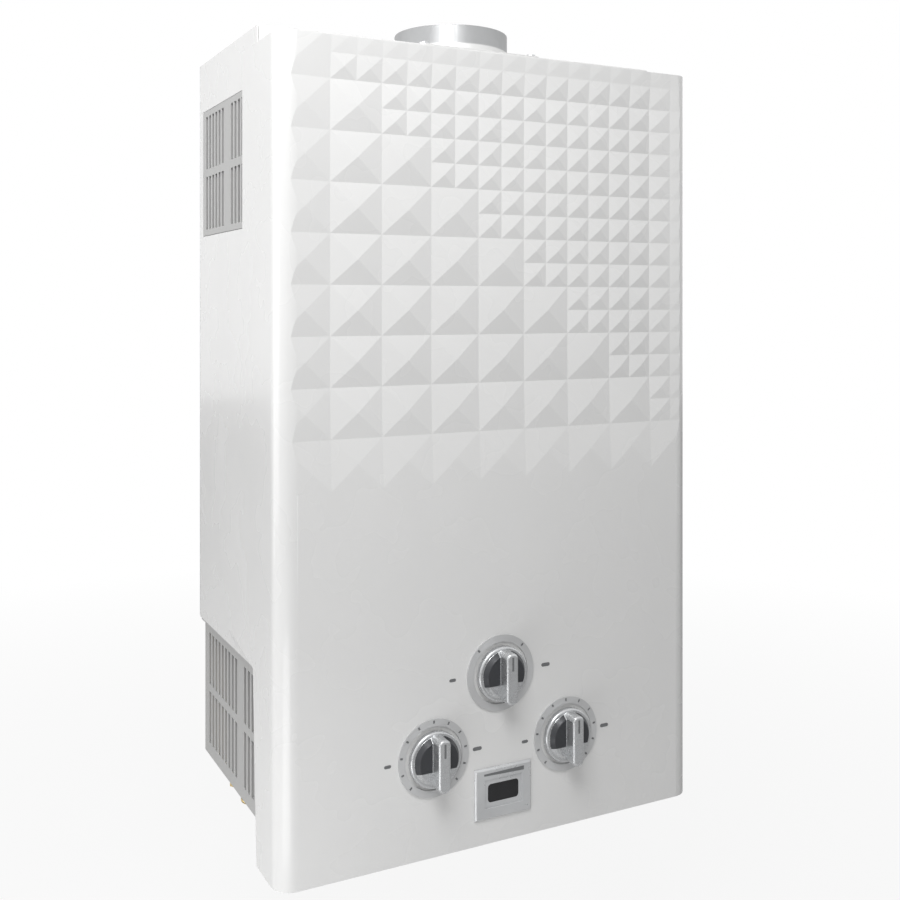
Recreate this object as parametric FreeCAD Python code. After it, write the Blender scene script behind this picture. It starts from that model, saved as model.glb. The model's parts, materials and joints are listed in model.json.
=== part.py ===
import FreeCAD, Part
import math
import os

os.makedirs("parts", exist_ok=True)
V = FreeCAD.Vector
X_AXIS = V(1, 0, 0)
Y_AXIS = V(0, 1, 0)
Z_AXIS = V(0, 0, 1)

# A wall-hung gas water heater. X runs to the right, Y into the wall, Z up. The wall is the plane y = 0.
# Levels below are counted from the lower edge of the front cover, and every piece is lowered by
# hang_level when it is written, so that the frame's origin is the hanging hole of the back plate.
# Depths are counted from the cover's face towards the wall.

# Front cover
cover_width = 336.0
cover_height = 560.0
face_depth = 204.0
cover_sheet = 1.0
cover_corner = 14.0
top_flange_depth = 50.0

# The bowed rear edge of the cover's sides
skirt_top_depth = 78.0
skirt_bulge_depth = 137.0
skirt_bulge_level = 305.0
skirt_turn_drop = 10.0
skirt_foot_depth = 112.0
skirt_foot_rise = 14.0
skirt_low_depth = 53.0
skirt_end_depth = 45.0

# Embossed field of the cover: rows count from the top, and row n starts with n large pyramids
relief_rows = 9
relief_columns = 9
relief_row_pitch = 34.2
relief_overrun = 5.8
relief_depth = 3.2
relief_small_height = 2.0
relief_last_share = 0.6
relief_skin = 0.02

# Rear housing
skirt_gap = 1.5
housing_sheet = 1.0
housing_bottom = 22.0
housing_rise = 14.0
housing_front_depth = 24.0
lip_width = 9.0
rear_lip_width = 14.0
back_sheet = 1.2
seam_gap = 0.3

# Side vents and grilles
upper_vent_height = 109.0
upper_vent_drop = 34.0
upper_vent_depth = 73.0
upper_vent_rear = 5.0
lower_vent_height = 107.7
lower_vent_rise = 0.3
lower_vent_depth = 53.0
lower_vent_rear = 1.6
grille_thickness = 2.0
grille_rim = 5.0
grille_inset = 5.0
slat_pitch = 9.0
slat_gap = 5.5
slat_crossbar = 6.0
grille_rib = 15.0
grille_front_bank = 33.0

# Wall fixing
tab_half_width = 30.0
hang_rise = 12.0
tab_margin = 11.0
keyhole_head = 6.0
keyhole_slot = 3.0
keyhole_rise = 9.0
wall_hole_radius = 3.5
wall_hole_spacing = 200.0
wall_hole_drop = 10.0
wall_tab_half = 16.0

# Knobs, dials and spindles. The shifts count from the gas knob to the right.
gas_knob_z = 69.0
water_knob_shift = 108.0
water_knob_z = 67.0
season_knob_shift = 53.0
season_knob_z = 120.0
knob_radius = 19.5
knob_length = 17.0
knob_base = 4.0
knob_wall = 2.0
grip_width = 9.0
dial_outer = 27.0
dial_inner = 22.0
dial_thickness = 1.2
tick_length = 2.2
tick_width = 1.4
tick_depth = 0.4
knob_sweep = 270.0
season_sweep = 90.0
spindle_radius = 4.0
spindle_flat = 1.0
spindle_clearance = 0.05
spindle_hole = 7.0
spindle_collar = 6.5
spindle_collar_length = 3.0
spindle_depth = 28.0
knob_gap = 0.3

# Display
display_shift = 55.0
display_z = 36.0
bezel_width = 46.0
bezel_height = 36.0
bezel_rim = 8.0
bezel_proud = 2.0
bezel_fit = 0.3
socket_overlap = 4.0
socket_wall = 1.5
lens_gap = 0.2
lens_thickness = 1.5
board_thickness = 1.6
board_stand = 7.0

# Flue
flue_x = 11.0
collar_radius = 45.0
collar_sheet = 1.0
collar_height = 21.0
collar_flange = 8.0
collar_corner = 6.0
collar_screw_inset = 6.5
neck_clearance = 0.5
neck_sheet = 1.0
neck_drop = 34.0
neck_setback = 8.0
hood_straight = 36.0

# Burner rack, chamber and heat exchanger, from below upwards. The margin is from a side panel's inside.
core_margin = 56.5
core_depth = 116.0
core_stand = 42.0
core_sheet = 1.0
rack_low = 176.0
rack_height = 64.0
rack_lip = 8.0
burner_pitch = 20.0
burner_thickness = 9.0
burner_drop = 4.0
burner_ports = 8
blade_wall = 1.0
blade_slope = 14.0
chamber_height = 110.0
fin_pack_height = 55.0
fin_count = 24
fin_thickness = 0.8
tube_radius = 8.0
tube_wall = 1.0
tube_pitch = 24.0
tube_runs = 5
coil_radius = 6.0
coil_turns = 3
coil_rise = 22.0
coil_climb = 28.0
coil_gap = 0.3
bend_radius = 16.0
bracket_spread = 60.0
bracket_half = 12.0
bracket_sheet = 2.0

# Electrodes
electrode_drop = 12.0
ceramic_radius = 3.0
ceramic_length = 26.0
electrode_wire = 1.0

# Gas train
manifold_height = 20.0
manifold_thickness = 14.0
manifold_rise = 14.0
manifold_stand = 6.0
manifold_wall = 1.5
nozzle_radius = 3.5
nozzle_bore = 0.5
riser_radius = 7.0
riser_wall = 2.0
valve_front = 150.0
valve_rear = 46.0
valve_corner = 6.0
valve_wall = 5.0
boss_radius = 11.0
boss_length = 8.0
gas_body_left_reach = 34.0
gas_body_right_reach = 30.0
gas_body_low = 42.0
gas_body_high = 96.0
season_body_low = 104.0
season_body_high = 140.0
season_body_half = 20.0
season_body_front = 178.0
season_body_rear = 132.0
poppet_bore = 12.0
poppet_radius = 9.5
poppet_thickness = 4.0
poppet_stem = 3.0
poppet_seat_depth = 8.0
poppet_bore_depth = 30.0
bonnet_radius = 16.0
bonnet_thickness = 3.0
plunger_radius = 4.0
plunger_play = 0.3
plunger_travel = 2.5
plunger_length = 30.0
solenoid_radius = 13.0
solenoid_length = 30.0

# Water train
rod_z = 69.0
rod_radius = 3.0
rod_travel = 4.0
rod_play = 0.3
rod_collar_radius = 10.0
rod_collar_length = 3.0
water_body_left_reach = 26.0
water_body_right_reach = 28.0
water_body_low = 40.0
water_body_high = 96.0
water_flange = 12.0
diaphragm_radius = 27.0
diaphragm_thickness = 2.0
diaphragm_rim = 7.0
cap_thickness = 12.0
cap_boss = 6.0
plate_radius = 18.0
plate_thickness = 2.0
spring_wire = 0.8
spring_radius = 5.5
spring_turns = 5
water_out_offset = 14.0

# Microswitch
switch_body_length = 20.0
switch_body_height = 10.0
switch_width = 6.5
switch_ear = 1.2
lever_pin_radius = 1.0
lever_knuckle = 1.8
lever_arm = 10.0
lever_tip = 3.0
lever_sheet = 0.8

# Connections and pipes
nipple_y = -62.0
thread_radius = 10.48
thread_drop = 14.0
shank_radius = 12.5
neck_radius = 11.0
nipple_bore = 7.5
nipple_hex = 34.0
nipple_hex_height = 6.0
lock_nut_height = 7.0
pipe_radius = 7.0
pipe_wall = 1.0
riser_margin = 25.5
cold_riser_y = -120.0
union_nut_height = 12.0
union_nut_rim = 4.0
hot_offset_low = 60.0
hot_offset_high = 110.0
filter_radius = 7.3
filter_length = 22.0
filter_wall = 0.8
drain_shift = 18.0
drain_y = -128.0
drain_hole = 9.0
drain_shank = 5.0
drain_shank_length = 14.0
drain_head = 8.0

# Battery case
battery_front = 152.0
cell_radius = 17.1
cell_length = 61.5
cell_gap = 0.4
cell_tip = 1.5
battery_wall = 1.8
battery_spacing = 6.0
battery_spring_space = 7.0
contact_sheet = 0.5
contact_half = 8.0
lid_thickness = 2.2
lid_gap = 0.4
lid_pin_radius = 1.5
lid_knuckle = 3.2
lid_ear = 3.0

# Igniter
igniter_width = 70.0
igniter_height = 56.0
igniter_depth = 26.0
igniter_margin = 32.5
igniter_low = 108.0

# Screws
screw_radius = 2.0
screw_head = 3.6
screw_head_height = 1.8
screw_length = 5.0
screw_play = 0.2

# Worked out from the sizes above
half_width = cover_width / 2
face_y = -face_depth
housing_top = cover_height + housing_rise
housing_x = half_width - cover_sheet - skirt_gap
inner_x = housing_x - housing_sheet
floor_x = inner_x - grille_inset
floor_top = housing_bottom + housing_sheet
housing_front = face_y + housing_front_depth
low_roof = cover_height - cover_sheet - seam_gap
roof_step = face_y + top_flange_depth + seam_gap
hang_level = housing_top + hang_rise
relief_bottom = cover_height + relief_overrun - relief_rows * relief_row_pitch
upper_vent_high = housing_top - upper_vent_drop
upper_vent_low = upper_vent_high - upper_vent_height
upper_vent_front = face_y + upper_vent_depth
lower_vent_low = housing_bottom + lower_vent_rise
lower_vent_high = lower_vent_low + lower_vent_height
lower_vent_front = face_y + lower_vent_depth
core_half = inner_x - core_margin
burner_count = int(2 * (core_half - core_sheet) / burner_pitch)
core_rear = -core_stand
core_front = core_rear - core_depth
core_y = (core_front + core_rear) / 2
flue_y = core_y
chamber_low = rack_low + rack_height
fin_low = chamber_low + chamber_height
fin_high = fin_low + fin_pack_height
tube_level = (fin_low + fin_high) / 2
coil_low = chamber_low + coil_rise
manifold_z = rack_low + manifold_rise
manifold_rear = core_front - manifold_stand
manifold_front = manifold_rear - manifold_thickness
burner_top = chamber_low - burner_drop
electrode_level = chamber_low - electrode_drop
battery_width = 4 * cell_radius + 3 * cell_gap + 2 * battery_wall
battery_left = floor_x - seam_gap - battery_width
water_body_right = battery_left - battery_spacing
water_knob_x = water_body_right - water_body_right_reach
gas_knob_x = water_knob_x - water_knob_shift
season_knob_x = gas_knob_x + season_knob_shift
display_x = gas_knob_x + display_shift
drain_x = water_knob_x + drain_shift
valve_boss_y = -valve_front - boss_length
gas_body_left = gas_knob_x - gas_body_left_reach
gas_body_right = gas_knob_x + gas_body_right_reach
water_body_left = water_knob_x - water_body_left_reach
rod_y = -(valve_front + valve_rear) / 2
cap_recess = plate_thickness + rod_travel + 2
rod_tip = gas_body_right + bonnet_thickness / 2
cap_left = water_body_left - diaphragm_thickness - cap_thickness
rod_collar = cap_left - cap_boss - rod_play - rod_collar_length
lever_x = rod_collar - rod_play - lever_sheet / 2
lever_z = rod_z - rod_collar_radius - lever_arm
switch_low = lever_z - lever_knuckle - 0.7 - switch_body_height
riser_x = inner_x - riser_margin
hot_x = -riser_x
cold_cross_level = rack_low - bend_radius - 2
union_level = chamber_low - bend_radius


def box(x0, x1, y0, y1, z0, z1):
    return Part.makeBox(x1 - x0, y1 - y0, z1 - z0, V(x0, y0, z0))


def rod(x, y, z, axis, radius, length):
    return Part.makeCylinder(radius, length, V(x, y, z), axis)


def ring(x, y, z, axis, outer, inner, length):
    return rod(x, y, z, axis, outer, length).cut(rod(x, y, z, axis, inner, length))


def prism(points, direction):
    return Part.Face(Part.makePolygon(points + [points[0]])).extrude(direction)


def join(shapes):
    return shapes[0].multiFuse(shapes[1:]).removeSplitter() if len(shapes) > 1 else shapes[0]


def mirrored(shape):
    return shape.mirror(V(0, 0, 0), X_AXIS)


def rounded_block(left, right, front, rear, low, high, corner):
    """A block with rounded upright edges."""
    block = box(left, right, front, rear, low, high)
    upright = [edge for edge in block.Edges if edge.BoundBox.ZLength > (high - low) / 2]
    return block.makeFillet(corner, upright)


def bent_path(points, radius):
    """Straight runs joined by tangent arcs."""
    edges = []
    start = points[0]
    for before, corner, after in zip(points, points[1:], points[2:]):
        back = (before - corner).normalize()
        ahead = (after - corner).normalize()
        half_angle = back.getAngle(ahead) / 2
        reach = radius / math.tan(half_angle)
        first = corner + back * reach
        last = corner + ahead * reach
        middle_way = (back + ahead).normalize()
        middle = corner + middle_way * (radius / math.sin(half_angle) - radius)
        if (first - start).Length > 1e-6:
            edges.append(Part.LineSegment(start, first).toShape())
        edges.append(Part.Arc(first, middle, last).toShape())
        start = last
    edges.append(Part.LineSegment(start, points[-1]).toShape())
    return Part.Wire(edges)


def swept(points, bend, radius):
    path = bent_path(points, bend)
    heading = (points[1] - points[0]).normalize()
    section = Part.Wire(Part.makeCircle(radius, points[0], heading))
    return path.makePipeShell([section], True, False)


def pipe(points, bend, radius, wall):
    return swept(points, bend, radius).cut(swept(points, bend, radius - wall))


def hexagon(x, y, z, across, height):
    corner = across / 2 / math.cos(math.pi / 6)
    points = []
    for step in range(6):
        angle = math.radians(60 * step)
        points.append(V(x + corner * math.cos(angle), y + corner * math.sin(angle), z))
    return prism(points, V(0, 0, height))


def screw(x, y, z, axis, length):
    """A pan-head screw whose head stands on the point and whose shank runs against the axis."""
    head = rod(x, y, z, axis, screw_head, screw_head_height)
    shank = rod(x, y, z, axis * -1, screw_radius, length)
    return head.fuse(shank)


# Front cover


def relief_foot(column, row):
    """How far behind the face the pyramids' feet lie, at whole and half steps of the grid.

    Columns count from the left and rows from below. The field runs out to nothing at its border.
    """
    total = 0
    for across in (math.floor(column), math.ceil(column)):
        for up in (math.floor(row), math.ceil(row)):
            if across in (0, relief_columns) or up in (0, relief_rows):
                total += relief_skin
            elif up == 1:
                total += relief_depth * relief_last_share
            else:
                total += relief_depth
    return total / 4


def relief_point(column, row, depth):
    pitch = cover_width / relief_columns
    return V(-half_width + column * pitch, face_y + depth, relief_bottom + row * relief_row_pitch)


def relief_cell(column, row, size):
    """The sloping faces of one pyramid: a large one fills its cell, a small one is a quarter of it."""
    large = size == 1
    places = [(column, row), (column + size, row), (column + size, row + size), (column, row + size)]
    feet = [relief_foot(across, up) for across, up in places]
    corners = [relief_point(across, up, foot) for (across, up), foot in zip(places, feet)]
    small_apex = sum(feet) / 4 * (1 - relief_small_height / relief_depth)
    apex = relief_point(column + size / 2, row + size / 2, relief_skin if large else small_apex)
    faces = []
    for index in range(4):
        start = corners[index]
        end = corners[(index + 1) % 4]
        middle = [(start + end) * 0.5] if large else []
        faces.append(Part.Face(Part.makePolygon([start] + middle + [end, apex, start])))
    return faces


def relief_faces():
    faces = []
    for row in range(relief_rows):
        large_count = relief_rows - row
        for column in range(relief_columns):
            if column < large_count:
                faces += relief_cell(column, row, 1)
                continue
            for across in (0, 0.5):
                for up in (0, 0.5):
                    faces += relief_cell(column + across, row + up, 0.5)
    return faces


def relief_border(corner_a, corner_b, steps):
    """One side wall of the air in front of the relief, split where the pyramids' feet are."""
    foot = [corner_a + (corner_b - corner_a) * (step / steps) for step in range(steps + 1)]
    out = V(0, -2 * relief_depth, 0)
    return Part.Face(Part.makePolygon(foot + [corner_b + out, corner_a + out, corner_a]))


def relief_air():
    """The air in front of the embossed field, as one solid."""
    places = [(0, 0), (relief_columns, 0), (relief_columns, relief_rows), (0, relief_rows)]
    corners = [relief_point(column, row, relief_skin) for column, row in places]
    counts = [2 * relief_columns, 2 * relief_rows, 2 * relief_columns, 2 * relief_rows]
    faces = relief_faces()
    for index in range(4):
        faces.append(relief_border(corners[index], corners[(index + 1) % 4], counts[index]))
    out = V(0, -2 * relief_depth, 0)
    faces.append(Part.Face(Part.makePolygon([point + out for point in corners + corners[:1]])))
    shell = Part.makeShell(faces)
    shell.sewShape()
    return Part.makeSolid(shell)


def cover_block(inset):
    """The cover's outer form, or its hollow when inset by the sheet, with its front edges rounded."""
    block = box(
        -half_width + inset, half_width - inset,
        face_y + inset, 0,
        inset, cover_height - inset,
    )
    radius = cover_corner - inset
    front = face_y + inset
    upright = []
    for edge in block.Edges:
        bounds = edge.BoundBox
        if abs(bounds.YMax - front) < 1e-6 and bounds.ZLength > cover_height / 2:
            upright.append(edge)
    return block.makeFillet(radius, upright)


def skirt_cutter():
    """Everything behind the skirt's bowed rear edge, right across the casing."""
    reach = half_width + 1
    turn = upper_vent_low - skirt_turn_drop
    upper = V(reach, face_y + skirt_top_depth, turn)
    bulge = V(reach, face_y + skirt_bulge_depth, skirt_bulge_level)
    foot = V(reach, face_y + skirt_foot_depth, lower_vent_high + skirt_foot_rise)
    low = V(reach, face_y + skirt_low_depth, lower_vent_high + 2)
    end = V(reach, face_y + skirt_end_depth, -1)
    top = V(reach, face_y + skirt_top_depth, cover_height + 1)
    edges = [
        Part.LineSegment(top, upper).toShape(),
        Part.Arc(upper, bulge, foot).toShape(),
        Part.LineSegment(foot, low).toShape(),
        Part.LineSegment(low, end).toShape(),
        Part.LineSegment(end, V(reach, 1, -1)).toShape(),
        Part.LineSegment(V(reach, 1, -1), V(reach, 1, cover_height + 1)).toShape(),
        Part.LineSegment(V(reach, 1, cover_height + 1), top).toShape(),
    ]
    return Part.Face(Part.Wire(edges)).extrude(V(-2 * reach, 0, 0))


def cover_holes():
    holes = []
    for x, z in knob_places():
        holes.append(rod(x, face_y - 1, z, Y_AXIS, spindle_hole, cover_sheet + 2))
    half_w = bezel_width / 2 - bezel_rim + socket_overlap
    half_h = bezel_height / 2 - bezel_rim + socket_overlap
    holes.append(box(
        display_x - half_w, display_x + half_w,
        face_y - 1, face_y + cover_sheet + 1,
        display_z - half_h, display_z + half_h,
    ))
    for x, y, z, axis in cover_screw_places():
        holes.append(rod(x, y, z, axis, screw_radius + screw_play, 2 * cover_sheet + 1))
        holes.append(rod(x, y, z, axis * -1, screw_radius + screw_play, 2 * cover_sheet + 1))
    return holes


def knob_places():
    return [(gas_knob_x, gas_knob_z), (water_knob_x, water_knob_z), (season_knob_x, season_knob_z)]


def cover_screw_places():
    spread = cover_width / 3
    top_y = (roof_step + housing_front) / 2
    low_y = housing_front + screw_head
    places = []
    for x in (-spread, spread):
        places.append((x, top_y, cover_height, Z_AXIS))
        places.append((x, low_y, 0, Z_AXIS * -1))
    return places


def front_cover():
    air = relief_air()
    inner_air = air.copy()
    inner_air.translate(V(0, cover_sheet, 0))
    outer = cover_block(0).cut(air)
    hollow = cover_block(cover_sheet).cut(inner_air)
    rear = box(
        -half_width + cover_sheet, half_width - cover_sheet,
        -1, 1, cover_sheet, cover_height - cover_sheet,
    )
    shell = outer.cut(hollow.fuse(rear))
    top_cut = box(
        -half_width + cover_sheet, half_width - cover_sheet,
        face_y + top_flange_depth, 0,
        cover_height - 2 * cover_sheet, cover_height + 1,
    )
    return shell.cut([skirt_cutter(), top_cut] + cover_holes())




# Rear housing


def side_outline(x):
    """A side panel's outline: lower in front, under the cover's top, and higher behind it."""
    low_top = low_roof - housing_sheet
    step_y = roof_step + housing_sheet
    return [
        V(x, housing_front, housing_bottom), V(x, -back_sheet, housing_bottom),
        V(x, -back_sheet, housing_top), V(x, step_y, housing_top),
        V(x, step_y, low_top), V(x, housing_front, low_top),
    ]


def right_side_panel():
    web = prism(side_outline(inner_x), V(housing_sheet, 0, 0))
    front_lip = box(
        inner_x - lip_width, inner_x,
        housing_front, housing_front + housing_sheet,
        floor_top + lip_width, low_roof - housing_sheet - lip_width,
    )
    rear_lip = box(
        inner_x - rear_lip_width, inner_x,
        -back_sheet - housing_sheet, -back_sheet,
        lower_vent_high + 1, housing_top - lip_width - housing_sheet,
    )
    foot_lip = box(floor_x, inner_x, housing_front, lower_vent_front, housing_bottom, floor_top)
    panel = join([web, front_lip, rear_lip, foot_lip])
    upper = box(
        inner_x - 1, half_width,
        upper_vent_front + grille_rim, -upper_vent_rear - grille_rim,
        upper_vent_low + grille_rim, upper_vent_high - grille_rim,
    )
    lower = box(
        inner_x - 1, half_width,
        lower_vent_front, 0,
        housing_bottom - 1, lower_vent_high,
    )
    return panel.cut([upper, lower] + panel_screw_holes())


def panel_screw_places():
    levels = [lower_vent_high + 30, (lower_vent_high + housing_top) / 2, housing_top - 40]
    x = inner_x - rear_lip_width / 2
    return [(x, -back_sheet - housing_sheet, level) for level in levels]


def panel_screw_holes():
    holes = []
    for x, y, z in panel_screw_places():
        holes.append(rod(x, y - 1, z, Y_AXIS, screw_radius, back_sheet + housing_sheet + 2))
    return holes


def top_panel():
    """Low in front, under the cover's top flange, then a riser and the high rear half."""
    t = housing_sheet
    outer = [
        V(0, housing_front, low_roof - lip_width), V(0, housing_front, low_roof),
        V(0, roof_step, low_roof), V(0, roof_step, housing_top),
        V(0, -back_sheet, housing_top), V(0, -back_sheet, housing_top - lip_width),
    ]
    inner = [
        V(0, -back_sheet - t, housing_top - lip_width), V(0, -back_sheet - t, housing_top - t),
        V(0, roof_step + t, housing_top - t), V(0, roof_step + t, low_roof - t),
        V(0, housing_front + t, low_roof - t), V(0, housing_front + t, low_roof - lip_width),
    ]
    panel = prism(outer + inner, V(2 * inner_x, 0, 0))
    panel.translate(V(-inner_x, 0, 0))
    holes = [rod(flue_x, flue_y, housing_top - 5, Z_AXIS, collar_radius - collar_sheet, 10)]
    for x, y, z, axis in cover_screw_places():
        if axis == Z_AXIS:
            holes.append(rod(x, y, z - 5, Z_AXIS, screw_radius, 6))
    for x, y in collar_screw_places():
        holes.append(rod(x, y, housing_top - 5, Z_AXIS, screw_radius, 6))
    return panel.cut(holes)


def collar_screw_places():
    reach = collar_radius + collar_flange - collar_screw_inset
    return [(flue_x + a * reach, flue_y + b * reach) for a in (-1, 1) for b in (-1, 1)]


def bottom_panel():
    """The floor, with its rear flange and the step in front that the cover's lower edge is screwed to."""
    t = housing_sheet
    step_y = housing_front + lip_width
    lip_low = cover_sheet + seam_gap
    lip_front = housing_front - lip_width / 2
    outer = [
        V(0, -back_sheet, housing_bottom + lip_width), V(0, -back_sheet, housing_bottom),
        V(0, step_y, housing_bottom), V(0, step_y, lip_low), V(0, lip_front, lip_low),
        V(0, lip_front, lip_low + t), V(0, step_y - t, lip_low + t), V(0, step_y - t, floor_top),
        V(0, -back_sheet - t, floor_top), V(0, -back_sheet - t, housing_bottom + lip_width),
    ]
    panel = prism(outer, V(2 * floor_x, 0, 0))
    panel.translate(V(-floor_x, 0, 0))
    holes = [battery_opening()]
    for x in (hot_x, gas_knob_x, water_knob_x):
        holes.append(rod(x, nipple_y, 0, Z_AXIS, shank_radius + seam_gap, 60))
    for x, y, z, axis in cover_screw_places():
        if axis != Z_AXIS:
            holes.append(rod(x, y, z, Z_AXIS, screw_radius, 6))
    holes.append(rod(drain_x, drain_y, 0, Z_AXIS, drain_hole, 60))
    return panel.cut(holes)


def back_plate():
    """The flat chassis sheet, with a hanging tab above and two screw tabs below."""
    sheet = box(-housing_x, housing_x, -back_sheet, 0, lower_vent_high + 1, housing_top)
    low = box(-floor_x, floor_x, -back_sheet, 0, housing_bottom, lower_vent_high + 1)
    tabs = [box(-tab_half_width, tab_half_width, -back_sheet, 0, housing_top, hang_level + tab_margin)]
    wall_hole_level = housing_bottom - wall_hole_drop
    wall_hole_places = (-wall_hole_spacing / 2, wall_hole_spacing / 2)
    for x in wall_hole_places:
        tabs.append(box(
            x - wall_tab_half, x + wall_tab_half, -back_sheet, 0,
            wall_hole_level - tab_margin, housing_bottom,
        ))
    plate = join([sheet, low] + tabs)
    head = rod(0, -back_sheet - 1, hang_level - keyhole_rise, Y_AXIS, keyhole_head, back_sheet + 2)
    slot = box(
        -keyhole_slot, keyhole_slot, -back_sheet - 1, 1,
        hang_level - keyhole_rise, hang_level,
    )
    seat = rod(0, -back_sheet - 1, hang_level, Y_AXIS, keyhole_slot, back_sheet + 2)
    holes = [head, slot, seat]
    for x in wall_hole_places:
        holes.append(rod(x, -back_sheet - 1, wall_hole_level, Y_AXIS, wall_hole_radius, back_sheet + 2))
    for hole in panel_screw_holes():
        holes.append(hole)
        holes.append(mirrored(hole))
    return plate.cut(holes)


# Side grilles


def slat_slots(x0, x1, front, rear, low, high):
    """Two banks of upright slots, each split in two by a cross rib, cut through a grille."""
    slots = []
    middle = (low + high) / 2
    banks = [(front, front + grille_front_bank), (front + grille_front_bank + grille_rib, rear)]
    for start, end in banks:
        count = int((end - start + slat_pitch - slat_gap) / slat_pitch)
        spare = (end - start) - (count * slat_pitch - (slat_pitch - slat_gap))
        for index in range(count):
            y = start + spare / 2 + index * slat_pitch
            slots.append(box(x0, x1, y, y + slat_gap, low, middle - slat_crossbar / 2))
            slots.append(box(x0, x1, y, y + slat_gap, middle + slat_crossbar / 2, high))
    return slots


def upper_right_grille():
    """Sits inside the panel's window, its raised field flush with the outside."""
    inside = inner_x - grille_thickness
    plate = box(
        inside, inner_x,
        upper_vent_front, -upper_vent_rear,
        upper_vent_low, upper_vent_high,
    )
    field = box(
        inner_x, inner_x + housing_sheet,
        upper_vent_front + grille_rim + seam_gap, -upper_vent_rear - grille_rim - seam_gap,
        upper_vent_low + grille_rim + seam_gap, upper_vent_high - grille_rim - seam_gap,
    )
    slots = slat_slots(
        inside - 1, half_width,
        upper_vent_front + 2 * grille_rim, -upper_vent_rear - 2 * grille_rim,
        upper_vent_low + 2 * grille_rim, upper_vent_high - 2 * grille_rim,
    )
    return plate.fuse(field).removeSplitter().cut(slots)


def lower_right_grille():
    """Set back behind the panel's cut-away lower corner, from the skirt to the wall."""
    inside = floor_x
    outside = floor_x + grille_thickness
    plate = box(
        inside, outside,
        lower_vent_front, -lower_vent_rear,
        lower_vent_low, lower_vent_high,
    )
    front_wall = box(
        inside, inner_x,
        lower_vent_front, lower_vent_front + grille_thickness,
        lower_vent_low, lower_vent_high,
    )
    front_tongue = box(
        inner_x - grille_thickness, inner_x,
        lower_vent_front - 2 * grille_rim, lower_vent_front + grille_thickness,
        floor_top + seam_gap, lower_vent_high,
    )
    roof = box(
        inside, inner_x,
        lower_vent_front, -lower_vent_rear,
        lower_vent_high - grille_thickness, lower_vent_high,
    )
    slots = slat_slots(
        inside - 1, outside + 1,
        lower_vent_front + 2 * grille_rim, -lower_vent_rear - 2 * grille_rim,
        lower_vent_low + 2 * grille_rim, lower_vent_high - 2 * grille_rim,
    )
    return join([plate, front_wall, front_tongue, roof]).cut(slots)


# Flue collar and draught hood


def flue_collar():
    """A spigot on a square flange with a screw at each corner."""
    tube = ring(
        flue_x, flue_y, housing_top, Z_AXIS,
        collar_radius, collar_radius - collar_sheet, collar_height,
    )
    reach = collar_radius + collar_flange
    flange = rounded_block(
        flue_x - reach, flue_x + reach, flue_y - reach, flue_y + reach,
        housing_top, housing_top + collar_sheet, collar_corner,
    )
    holes = [rod(flue_x, flue_y, housing_top - 1, Z_AXIS, collar_radius - collar_sheet, 4)]
    for x, y in collar_screw_places():
        holes.append(rod(x, y, housing_top - 1, Z_AXIS, screw_radius, 4))
    return tube.fuse(flange).removeSplitter().cut(holes)


def hood_form(inset):
    """Straight skirt, then a loft from the rectangle to the round neck."""
    half_w = core_half - inset
    front = core_front + inset
    rear = core_rear - inset
    low = fin_high
    turn = fin_high + hood_straight
    neck_low = housing_top - neck_drop
    radius = collar_radius - collar_sheet - neck_clearance - inset
    skirt = box(-half_w, half_w, front, rear, low, turn)
    corners = [V(half_w, front, turn), V(half_w, rear, turn), V(-half_w, rear, turn)]
    corners += [V(-half_w, front, turn)]
    quarter = math.pi / 4
    below = []
    above = []
    for index in range(4):
        below.append(Part.LineSegment(corners[index], corners[(index + 1) % 4]).toShape())
        angles = [-quarter + index * 2 * quarter + step * quarter for step in range(3)]
        points = [
            V(flue_x + radius * math.cos(a), flue_y + radius * math.sin(a), neck_low) for a in angles
        ]
        above.append(Part.Arc(points[0], points[1], points[2]).toShape())
    taper = Part.makeLoft([Part.Wire(below), Part.Wire(above)], True, True)
    neck = rod(
        flue_x, flue_y, neck_low, Z_AXIS,
        radius, housing_top + collar_height - neck_setback - neck_low,
    )
    return skirt.fuse([taper, neck])


def draught_hood():
    outer = hood_form(0)
    inner = hood_form(neck_sheet)
    hood = outer.cut(inner)
    strap_low = fin_high + hood_straight / 2
    strap = box(
        -bracket_half, bracket_half, core_rear, -back_sheet,
        strap_low, strap_low + bracket_sheet,
    )
    return hood.fuse(strap)




# Bends and coils in wire


def corner_arc(first, corner, last):
    """The arc that leaves first towards corner and reaches last from corner."""
    back = (first - corner).normalize()
    ahead = (last - corner).normalize()
    half_angle = back.getAngle(ahead) / 2
    radius = (first - corner).Length * math.tan(half_angle)
    middle_way = (back + ahead).normalize()
    return Part.Arc(first, corner + middle_way * (radius / math.sin(half_angle) - radius), last).toShape()


def helix_place(origin, radius, pitch, angle):
    """A point and a heading on a helix about +X."""
    c = math.cos(angle)
    s = math.sin(angle)
    rise = pitch / (2 * math.pi)
    point = origin + V(rise * angle, radius * c, radius * s)
    return point, V(rise, -radius * s, radius * c).normalize()


def wire_coil(origin, radius, wire, turns, length):
    """An open coil about +X as one unbroken tube on a biarc for each quarter turn."""
    pitch = (length - wire) / turns
    start = origin + V(wire / 2, 0, 0)
    edges = []
    for quarter in range(4 * turns):
        p0, t0 = helix_place(start, radius, pitch, quarter * math.pi / 2)
        p1, t1 = helix_place(start, radius, pitch, (quarter + 1) * math.pi / 2)
        chord = p1 - p0
        total = t0 + t1
        spread = 2 * (1 - t0.dot(t1))
        lean = chord.dot(total)
        reach = (-lean + math.sqrt(lean * lean + spread * chord.dot(chord))) / spread
        q0 = p0 + t0 * reach
        q1 = p1 - t1 * reach
        joint = (q0 + q1) * 0.5
        edges.append(corner_arc(p0, q0, joint))
        edges.append(corner_arc(joint, q1, p1))
    first, heading = helix_place(start, radius, pitch, 0)
    section = Part.Wire(Part.makeCircle(wire / 2, first, heading))
    return Part.Wire(edges).makePipeShell([section], True, False)


# Burner, chamber and heat exchanger


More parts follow.
